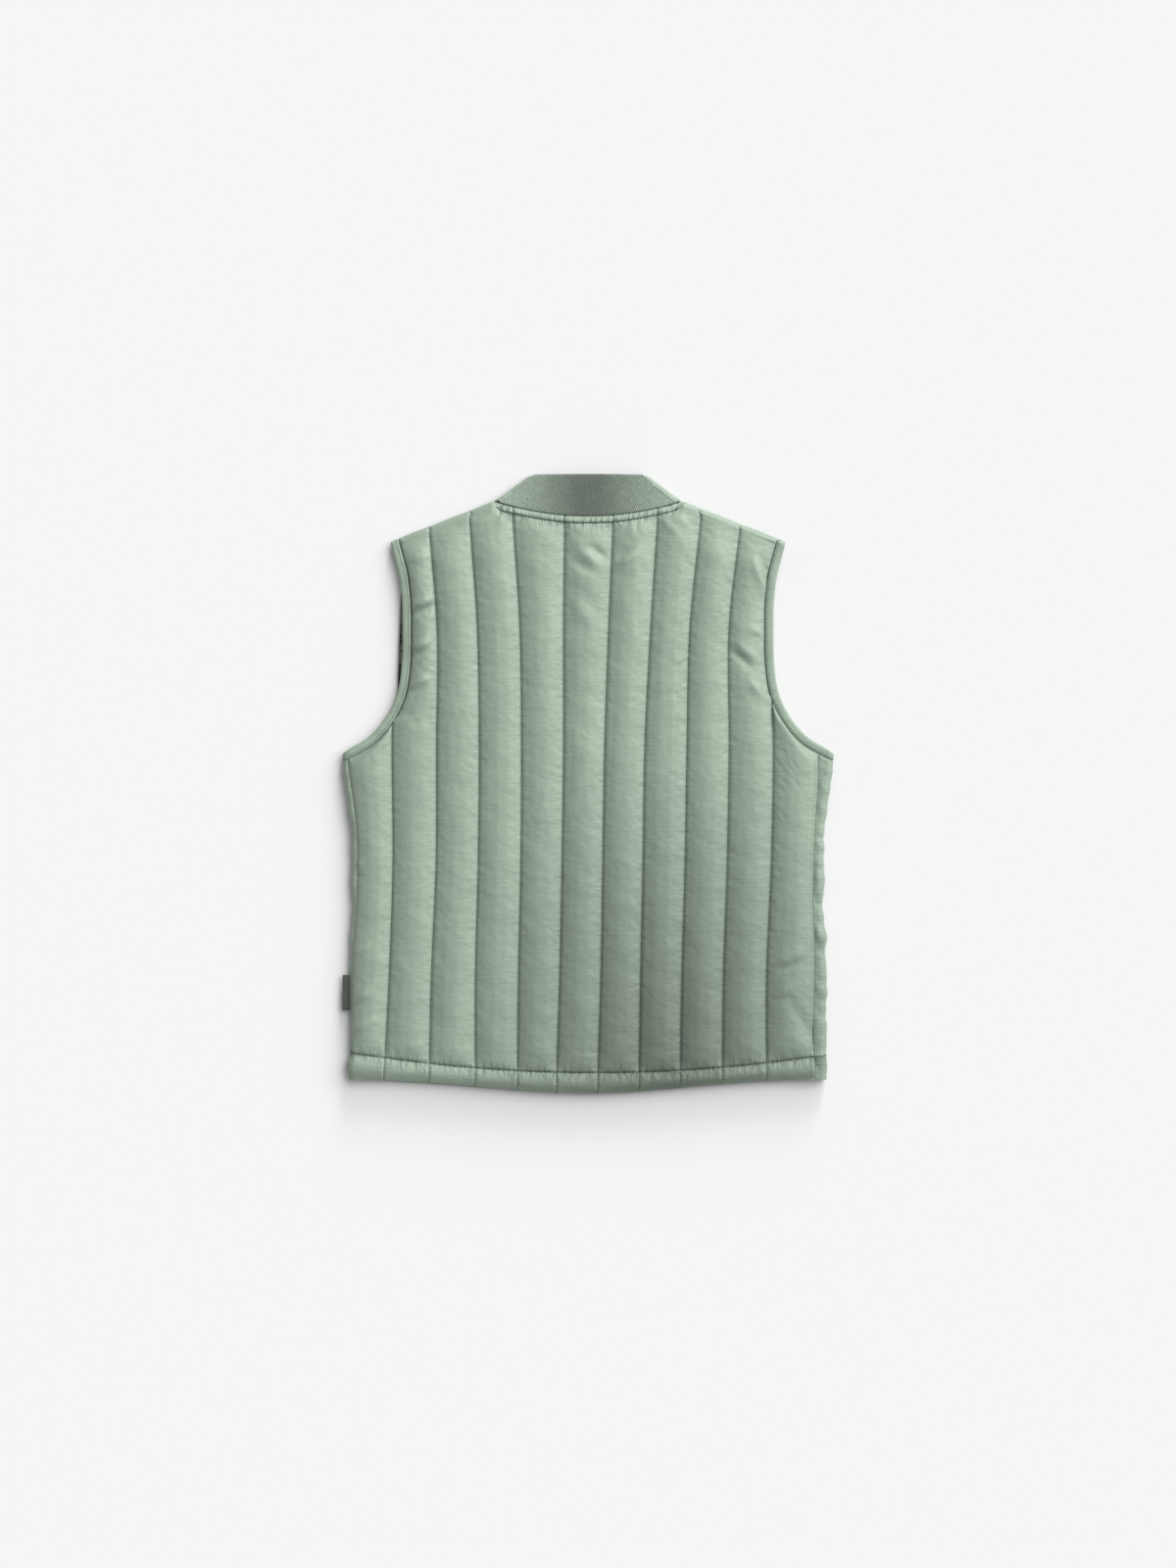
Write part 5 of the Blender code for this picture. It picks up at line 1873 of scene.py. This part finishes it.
# Creases that were pressed or pulled into the back: two ends, a width and a rise.
CREASE_ROWS = (
    (1.0, 170.0, 13.0, 161.0, 3.0, -1.9),
    (-3.0, 166.0, 8.0, 155.0, 3.2, 1.4),
    (-13.0, 161.0, 5.0, 149.0, 3.4, -1.2),
    (-12.0, 176.0, 2.0, 158.0, 3.4, 0.7),
    (18.0, 155.0, 37.0, 166.0, 3.0, 1.4),
    (19.0, 160.0, 33.0, 171.0, 3.0, -1.4),
    (20.0, 144.0, 33.0, 149.0, 4.0, -0.7),
    (-6.0, 138.0, 10.0, 120.0, 4.6, -0.8),
    (-10.0, 128.0, 4.0, 112.0, 4.6, 0.7),
    (118.0, 163.0, 128.0, 133.0, 3.7, 2.0),
    (122.0, 164.0, 130.0, 140.0, 2.8, -1.7),
    (101.0, 97.0, 118.0, 82.0, 3.0, -1.7),
    (104.0, 102.0, 121.0, 88.0, 3.2, 1.0),
    (114.0, 75.0, 127.0, 60.0, 3.0, 1.2),
    (116.0, 112.0, 126.0, 105.0, 2.8, 1.2),
    (-128.0, 120.0, -108.0, 128.5, 2.6, -2.6),
    (-127.0, 125.0, -109.0, 134.0, 3.0, 1.9),
    (-128.0, 95.0, -112.0, 103.0, 2.6, 1.7),
    (-128.0, 69.0, -113.0, 77.0, 2.6, 1.6),
    (-128.0, 90.0, -114.0, 97.0, 2.4, -1.3),
    (-127.0, 63.0, -115.0, 71.0, 2.4, -1.2),
    (-128.0, 160.0, -112.0, 163.0, 2.6, 0.9),
    (128.0, -130.0, 157.0, -118.0, 3.2, 1.0),
    (130.0, -135.0, 156.0, -125.0, 2.6, -0.8),
    (129.0, -153.0, 150.0, -143.0, 3.2, 0.9),
    (142.0, -150.0, 162.0, -186.0, 5.0, -1.6),
    (-169.0, -121.0, -155.0, -116.0, 2.6, 0.9),
    (-169.0, -157.0, -155.0, -147.0, 2.8, 1.0),
    (-168.0, -161.0, -156.0, -152.0, 2.4, -0.8),
    (-169.0, -177.0, -150.0, -167.0, 2.8, 1.0),
    (-130.0, -190.0, -118.0, -184.0, 2.6, 0.7),
    (-168.0, -58.0, -160.0, -56.0, 2.2, 0.9),
    (-169.0, -64.0, -160.0, -66.0, 2.0, -0.8),
    (63.0, 194.0, 69.0, 184.0, 2.4, 1.0),
    (52.0, 190.0, 66.0, 176.0, 2.8, 0.9),
    (30.0, 184.0, 33.0, 176.0, 2.4, 0.9),
    (38.0, 185.0, 39.0, 177.0, 2.2, 0.8),
)
BACK_CREASES = tuple(Crease(row[:2], row[2:4], *row[4:]) for row in CREASE_ROWS)


# Finishes.


class Nodes:
    """A material's nodes, with short calls for adding and joining them."""

    def __init__(self, name: str) -> None:
        """Starts a material with its shader alone.

        Args:
            name: the material's name.
        """
        self.material = bpy.data.materials.new(name)
        self.material.use_nodes = True
        self.tree = self.material.node_tree
        self.shader = self.tree.nodes["Principled BSDF"]
        self.place = self.tree.nodes.new("ShaderNodeTexCoord").outputs["Object"]

    def add(self, kind: str, inputs: dict, **settings: object) -> bpy.types.Node:
        """Adds a node.

        Args:
            kind: the node's type, without its prefix.
            inputs: values or sockets for its inputs, by name or number.
            settings: values for its own properties.

        Returns:
            The node.
        """
        node = self.tree.nodes.new("ShaderNode" + kind)
        for name, value in settings.items():
            setattr(node, name, value)
        self.feed(node, inputs)
        return node

    def feed(self, node: bpy.types.Node, inputs: dict) -> None:
        """Sets a node's inputs.

        Args:
            node: the node.
            inputs: values or sockets for them, by name or number.
        """
        for name, value in inputs.items():
            if isinstance(value, Socket):
                self.tree.links.new(value, node.inputs[name])
            else:
                node.inputs[name].default_value = value

    def noise(self, scale: float, detail: float = 3.0, stretch: tuple = (1.0, 1.0, 1.0)) -> Socket:
        """A noise over the object.

        Args:
            scale: features a metre.
            detail: how many finer layers it has.
            stretch: factors for the scale on each axis.

        Returns:
            The noise, from 0 to 1.
        """
        mapping = self.add("Mapping", {"Vector": self.place, "Scale": stretch})
        node = self.add("TexNoise", {"Vector": mapping.outputs[0], "Scale": scale, "Detail": detail})
        return node.outputs["Fac"]

    def bands(self, pitch: float, axis: str, warp: float) -> Socket:
        """Parallel threads.

        Args:
            pitch: millimetres from thread to thread.
            axis: the axis across the threads.
            warp: how far they waver.

        Returns:
            The threads, from 0 to 1.
        """
        inputs = {"Vector": self.place, "Scale": math.pi / (10.0 * pitch * MM), "Distortion": warp}
        inputs |= {"Detail": 1.0, "Detail Scale": 2.0}
        return self.add("TexWave", inputs, wave_type="BANDS", bands_direction=axis).outputs["Fac"]

    def ramp(self, value: Socket, low: tuple, high: tuple, span: tuple) -> Socket:
        """Turns a value over a span into a colour from low to high.

        Args:
            value: the value.
            low: colour at the span's start.
            high: colour at its end.
            span: where it starts and ends.

        Returns:
            The colour.
        """
        node = self.add("ValToRGB", {"Fac": value})
        node.color_ramp.elements[0].position, node.color_ramp.elements[1].position = span
        node.color_ramp.elements[0].color = (*low, 1.0)
        node.color_ramp.elements[1].color = (*high, 1.0)
        return node.outputs["Color"]

    def bump(self, height: Socket, depth: float, below: Socket | None = None) -> Socket:
        """Adds relief.

        Args:
            height: the relief's heights, from 0 to 1.
            depth: its depth in millimetres.
            below: any relief under it.

        Returns:
            The bent normal.
        """
        inputs = {"Height": height, "Distance": depth * MM, "Strength": 1.0}
        if below is not None:
            inputs["Normal"] = below
        return self.add("Bump", inputs).outputs["Normal"]

    def spread(self, scale: tuple, location: tuple = (0.0, 0.0, 0.0)) -> Socket:
        """A value that falls from 1 at a place to 0 round it.

        Args:
            scale: one over its reach on each axis.
            location: the place, in reaches and turned round.

        Returns:
            The value.
        """
        mapping = self.add("Mapping", {"Vector": self.place, "Location": location, "Scale": scale})
        inputs = {"Vector": mapping.outputs[0]}
        return self.add("TexGradient", inputs, gradient_type="SPHERICAL").outputs["Fac"]

    def mark(self, name: str) -> Socket:
        """Reads a value that is written on the piece's points."""
        return self.add("Attribute", {}, attribute_name=name).outputs["Fac"]

    def times(self, a: Socket, b: Socket | float) -> Socket:
        """Multiplies two values."""
        return self.add("Math", {0: a, 1: b}, operation="MULTIPLY").outputs[0]

    def tinted(self, a: Socket, b: Socket) -> Socket:
        """Multiplies two colours."""
        # Sockets 6 and 7 and output 2 are the node's colours.
        node = self.add("Mix", {0: 1.0, 6: a, 7: b}, data_type="RGBA", blend_type="MULTIPLY")
        return node.outputs[2]

    def finish(self, values: dict) -> bpy.types.Material:
        """Sets the shader's inputs and returns the material."""
        self.feed(self.shader, values)
        return self.material


def grey(tone: float) -> tuple:
    """A tone as a colour."""
    return (tone,) * 3


def shade(colour: tuple, share: float) -> tuple:
    """A colour made lighter or darker."""
    return tuple(share * part for part in colour)


@dataclass(frozen=True)
class SatinShell:
    """Soft satin woven polyester, with fine weft threads across it and tight puckers at its stitching."""

    name: str = "satin_shell"
    # Where the painted shade low on the vest is darkest, how far it reaches, and its tone there.
    painted_shade_centre: tuple = (0.058, -0.215)
    painted_shade_reach: tuple = (0.15, 0.25)
    painted_shade_tone: float = 0.45
    colour: tuple = (0.262, 0.334, 0.262)
    roughness: float = 0.47
    sheen: float = 0.16

    def painted_low_shade(self, nodes: Nodes) -> Socket:
        """Painted shade low on the vest, darkest a little right of the middle at the hem.

        Args:
            nodes: the material's nodes.

        Returns:
            A colour to multiply the satin's by.
        """
        scale = [1.0 / reach for reach in self.painted_shade_reach]
        location = (-self.painted_shade_centre[0] * scale[0], -self.painted_shade_centre[1] * scale[1], 0.0)
        patch = nodes.spread((*scale, 0.0), location)
        return nodes.ramp(patch, grey(1.0), grey(self.painted_shade_tone), (0.0, 1.0))

    def material(self) -> bpy.types.Material:
        """Makes the material.

        Returns:
            The material.
        """
        nodes = Nodes(self.name)
        weft = nodes.bands(0.95, "Y", 1.2)
        warp = nodes.bands(0.6, "X", 0.8)
        cloud = nodes.noise(38.0, 4.0, (1.0, 0.6, 1.0))
        grain = nodes.noise(900.0, 2.0)
        base = nodes.ramp(cloud, shade(self.colour, 0.955), shade(self.colour, 1.035), (0.3, 0.7))
        thread = nodes.ramp(weft, grey(0.955), grey(1.015), (0.0, 1.0))
        line, row = nodes.mark("near_line"), nodes.mark("near_row")
        seam = nodes.add("Math", {0: line, 1: row}, operation="MAXIMUM").outputs[0]
        # Painted shade in the ditches of the quilted lines and along the hem's and the neck strip's
        # stitching.
        shadow = nodes.ramp(seam, grey(1.0), grey(0.5), (0.8, 0.98))
        # The last colour multiplied in is the painted shade low on the vest.
        tint = nodes.tinted(nodes.tinted(nodes.tinted(base, thread), shadow), self.painted_low_shade(nodes))
        rough = nodes.add(
            "MapRange", {"Value": grain, "To Min": self.roughness - 0.06, "To Max": self.roughness + 0.06}
        )
        crinkle = nodes.noise(260.0, 3.0, (1.0, 0.7, 1.0))
        relief = nodes.bump(weft, 0.035)
        relief = nodes.bump(warp, 0.012, relief)
        relief = nodes.bump(crinkle, 0.05, relief)
        relief = nodes.bump(nodes.noise(66.0, 3.0, (0.75, 1.0, 1.0)), 1.8, relief)
        relief = nodes.bump(nodes.times(line, nodes.noise(330.0, 2.0, (0.28, 1.0, 0.5))), 1.3, relief)
        relief = nodes.bump(nodes.times(row, nodes.noise(360.0, 2.0, (1.0, 0.26, 0.5))), 4.0, relief)
        return nodes.finish(
            {
                "Base Color": tint,
                "Roughness": rough.outputs["Result"],
                "Specular IOR Level": 0.42,
                "Sheen Weight": self.sheen,
                "Sheen Roughness": 0.45,
                "Normal": relief,
            }
        )


@dataclass(frozen=True)
class RibKnit:
    """Matte rib knit with a fuzzy grain, darker than the shell towards its middle through painted shade."""

    colour: tuple = (0.262, 0.338, 0.263)
    # How dark the painted shade at the collar's middle gets, and how far across it reaches.
    middle_painted_shade: float = 0.35
    middle_shade_reach: float = 0.058
    roughness: float = 0.88
    sheen: float = 0.6

    def material(self) -> bpy.types.Material:
        """Makes the material.

        Returns:
            The material.
        """
        nodes = Nodes("rib_knit")
        loops = nodes.noise(1500.0, 2.0, (1.0, 0.55, 1.0))
        cloud = nodes.noise(70.0, 3.0)
        base = nodes.ramp(loops, shade(self.colour, 0.62), shade(self.colour, 1.4), (0.28, 0.72))
        wear_and_painted_shade = nodes.ramp(cloud, grey(0.93), grey(1.06), (0.3, 0.7))
        # Painted shade: the collar darkens towards its middle, and its ends stay paler.
        middle = nodes.spread((1.0 / self.middle_shade_reach, 0.0, 0.0))
        wear_and_painted_shade = nodes.tinted(wear_and_painted_shade, nodes.ramp(middle, grey(1.0), grey(self.middle_painted_shade), (0.0, 0.85)))
        relief = nodes.bump(loops, 0.22)
        relief = nodes.bump(nodes.noise(420.0, 3.0), 0.18, relief)
        return nodes.finish(
            {
                "Base Color": nodes.tinted(base, wear_and_painted_shade),
                "Roughness": self.roughness,
                "Specular IOR Level": 0.25,
                "Sheen Weight": self.sheen,
                "Sheen Roughness": 0.6,
                "Normal": relief,
            }
        )


@dataclass(frozen=True)
class TwistedThread:
    """Sewing thread with a slight gloss and a twist."""

    colour: tuple = (0.105, 0.14, 0.108)

    def material(self) -> bpy.types.Material:
        """Makes the material.

        Returns:
            The material.
        """
        nodes = Nodes("twisted_thread")
        strand = nodes.noise(2600.0, 1.0)
        base = nodes.ramp(strand, shade(self.colour, 0.75), shade(self.colour, 1.25), (0.3, 0.7))
        values = {"Base Color": base, "Roughness": 0.6, "Specular IOR Level": 0.35}
        return nodes.finish(values | {"Normal": nodes.bump(strand, 0.08)})


@dataclass(frozen=True)
class WovenTape:
    """Matte woven tape with fine cross ribs."""

    colour: tuple = (0.088, 0.091, 0.08)

    def material(self) -> bpy.types.Material:
        """Makes the material.

        Returns:
            The material.
        """
        nodes = Nodes("woven_tape")
        ribs = nodes.bands(0.45, "Y", 0.3)
        fleck = nodes.noise(1800.0, 2.0)
        base = nodes.ramp(fleck, shade(self.colour, 0.8), shade(self.colour, 1.2), (0.3, 0.7))
        tint = nodes.tinted(base, nodes.ramp(ribs, grey(0.86), grey(1.05), (0.0, 1.0)))
        values = {"Base Color": tint, "Roughness": 0.8, "Specular IOR Level": 0.3}
        return nodes.finish(values | {"Normal": nodes.bump(ribs, 0.06)})


@dataclass(frozen=True)
class MouldedCap:
    """Satin moulded plastic, with fine tooling grain and faint rubbing."""

    colour: tuple = (0.215, 0.27, 0.215)

    def material(self) -> bpy.types.Material:
        """Makes the material.

        Returns:
            The material.
        """
        nodes = Nodes("moulded_cap")
        grain = nodes.noise(2400.0, 2.0)
        rub = nodes.noise(240.0, 4.0)
        base = nodes.ramp(rub, shade(self.colour, 0.92), shade(self.colour, 1.08), (0.35, 0.65))
        rough = nodes.add("MapRange", {"Value": rub, "To Min": 0.34, "To Max": 0.48}).outputs["Result"]
        values = {"Base Color": base, "Roughness": rough, "Specular IOR Level": 0.5}
        return nodes.finish(values | {"Normal": nodes.bump(grain, 0.02)})


# The studio.


VEST = "vest_pieces"
FLOOR = "floor_pieces"


@dataclass(frozen=True)
class Sun:
    """A distant lamp. Its elevation, bearing and spread are in degrees."""

    name: str
    energy: float
    elevation: float
    bearing: float
    spread: float

    def hang(self) -> bpy.types.Object:
        """Adds the lamp.

        Returns:
            The lamp, which shines from its elevation and bearing.
        """
        data = bpy.data.lights.new(self.name, "SUN")
        data.energy = self.energy
        data.angle = math.radians(self.spread)
        lamp = bpy.data.objects.new(self.name, data)
        up, turn = math.radians(self.elevation), math.radians(self.bearing)
        way = Vector((math.cos(up) * math.cos(turn), math.cos(up) * math.sin(turn), math.sin(up)))
        lamp.rotation_euler = way.to_track_quat("Z", "Y").to_euler()
        bpy.context.collection.objects.link(lamp)
        return lamp


@dataclass
class Studio:
    """The floor, the lights and the camera, which looks straight down."""

    view_height: float = 1.12
    distance: float = 3.0
    sensor: float = 36.0
    floor: float = 4.0
    mid_height: float = 0.006
    floor_drop: float = 0.0002
    key: Sun = Sun("key", 3.2, 38.0, 38.0, 60.0)
    low: Sun = Sun("low_lamp", 2.5, 14.0, 77.0, 17.0)
    sky: float = 0.4
    window: float = 4.0
    window_place: tuple = (0.42, 0.78, 0.5)
    floor_tone: float = 0.754

    def build(self) -> None:
        """Sets up the whole studio."""
        self.make_camera()
        self.make_lights()
        self.make_floor()

    def make_camera(self) -> None:
        """A long lens over the middle of the vest."""
        data = bpy.data.cameras.new("camera")
        data.sensor_width = self.sensor
        data.lens = self.sensor * (self.distance - self.mid_height) / self.view_height
        camera = bpy.data.objects.new("camera", data)
        camera.location = (0.0, 0.0, self.distance)
        bpy.context.collection.objects.link(camera)
        bpy.context.scene.camera = camera

    def make_lights(self) -> None:
        """A key on everything, a window on the vest alone, a low sun on the floor alone, and the sky."""
        self.key.hang()
        data = bpy.data.lights.new("window", "AREA")
        data.energy = self.window
        data.size = 0.5
        window = bpy.data.objects.new("window", data)
        window.location = self.window_place
        window.rotation_euler = Vector(self.window_place).to_track_quat("Z", "Y").to_euler()
        window.light_linking.receiver_collection = bpy.data.collections.new(VEST)
        bpy.context.collection.objects.link(window)
        # The low sun draws out the vest's soft shadow.
        self.low.hang().light_linking.receiver_collection = bpy.data.collections.new(FLOOR)
        world = bpy.data.worlds.new("sky")
        world.use_nodes = True
        background = world.node_tree.nodes["Background"]
        background.inputs["Color"].default_value = (1.0, 1.0, 1.0, 1.0)
        background.inputs["Strength"].default_value = self.sky
        bpy.context.scene.world = world
        bpy.context.scene.view_settings.view_transform = "Standard"

    def make_floor(self) -> None:
        """A plain pale floor."""
        bm = bmesh.new()
        bmesh.ops.create_grid(bm, x_segments=2, y_segments=2, size=self.floor)
        bmesh.ops.translate(bm, vec=(0.0, 0.0, -self.floor_drop), verts=list(bm.verts))
        floor = write_mesh("floor", bm)
        nodes = Nodes("pale_floor")
        speck = nodes.noise(300.0, 2.0)
        pale = grey(self.floor_tone)
        tone = nodes.ramp(speck, shade(pale, 0.998), shade(pale, 1.002), (0.3, 0.7))
        floor.data.materials.append(
            nodes.finish({"Base Color": tone, "Roughness": 0.9, "Specular IOR Level": 0.1})
        )
        bpy.data.collections[FLOOR].objects.link(floor)


def dress(piece: bpy.types.Object, material: bpy.types.Material, slot: str, *nodes: str) -> None:
    """Gives a piece its material and body, and hides the solids that it stands for.

    Args:
        piece: the piece.
        material: its material.
        slot: a material slot's name, which is not used.
        nodes: the solids that it stands for, if any.
    """
    piece.data.materials.clear()
    piece.data.materials.append(material)
    bpy.data.collections[VEST].objects.link(piece)
    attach(piece, "root")
    if nodes:
        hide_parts(*nodes)
    LOG.info("%s: %d faces", piece.name, len(piece.data.polygons))


def main() -> None:
    """Builds the vest on its frame."""
    logging.basicConfig(level=logging.INFO, format="%(message)s")
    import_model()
    Studio().build()
    shell, thread = SatinShell().material(), TwistedThread().material()
    binding = SatinShell("satin_binding").material()

    back = BackPanel()
    panel = back.build()
    dress(panel, shell, "shell", "back")
    dress(Stitching("back_stitching").build(back.paths), thread, "shell")
    dress(Stitching("side_seam_stitching", thread=0.2).build(back.seam_paths), thread, "shell")

    for side in Side:
        name = side.name.lower()
        front = FrontPanel(side)
        panel = front.build()
        dress(panel, shell, "shell", f"front_{name}")
        dress(Stitching(f"front_stitching_{name}").build(front.paths), thread, "shell")
        band = ArmholeBinding(side)
        piece = band.build()
        dress(piece, binding, "binding", f"armhole_binding_{name}")
        dress(Stitching(f"armhole_stitching_{name}").build(band.paths), thread, "binding")

    collar = Collar()
    piece = collar.build()
    dress(piece, RibKnit().material(), "rib", "collar")
    tab = SideTab()
    piece = tab.build()
    dress(piece, WovenTape().material(), "tape", "side_label")
    cap = MouldedCap().material()
    for number, height in enumerate(SNAP_HEIGHTS, start=1):
        dress(PressStud(number, height).build(), cap, "stud", f"snap_cap_{number}")


if __name__ == "__main__":
    main()
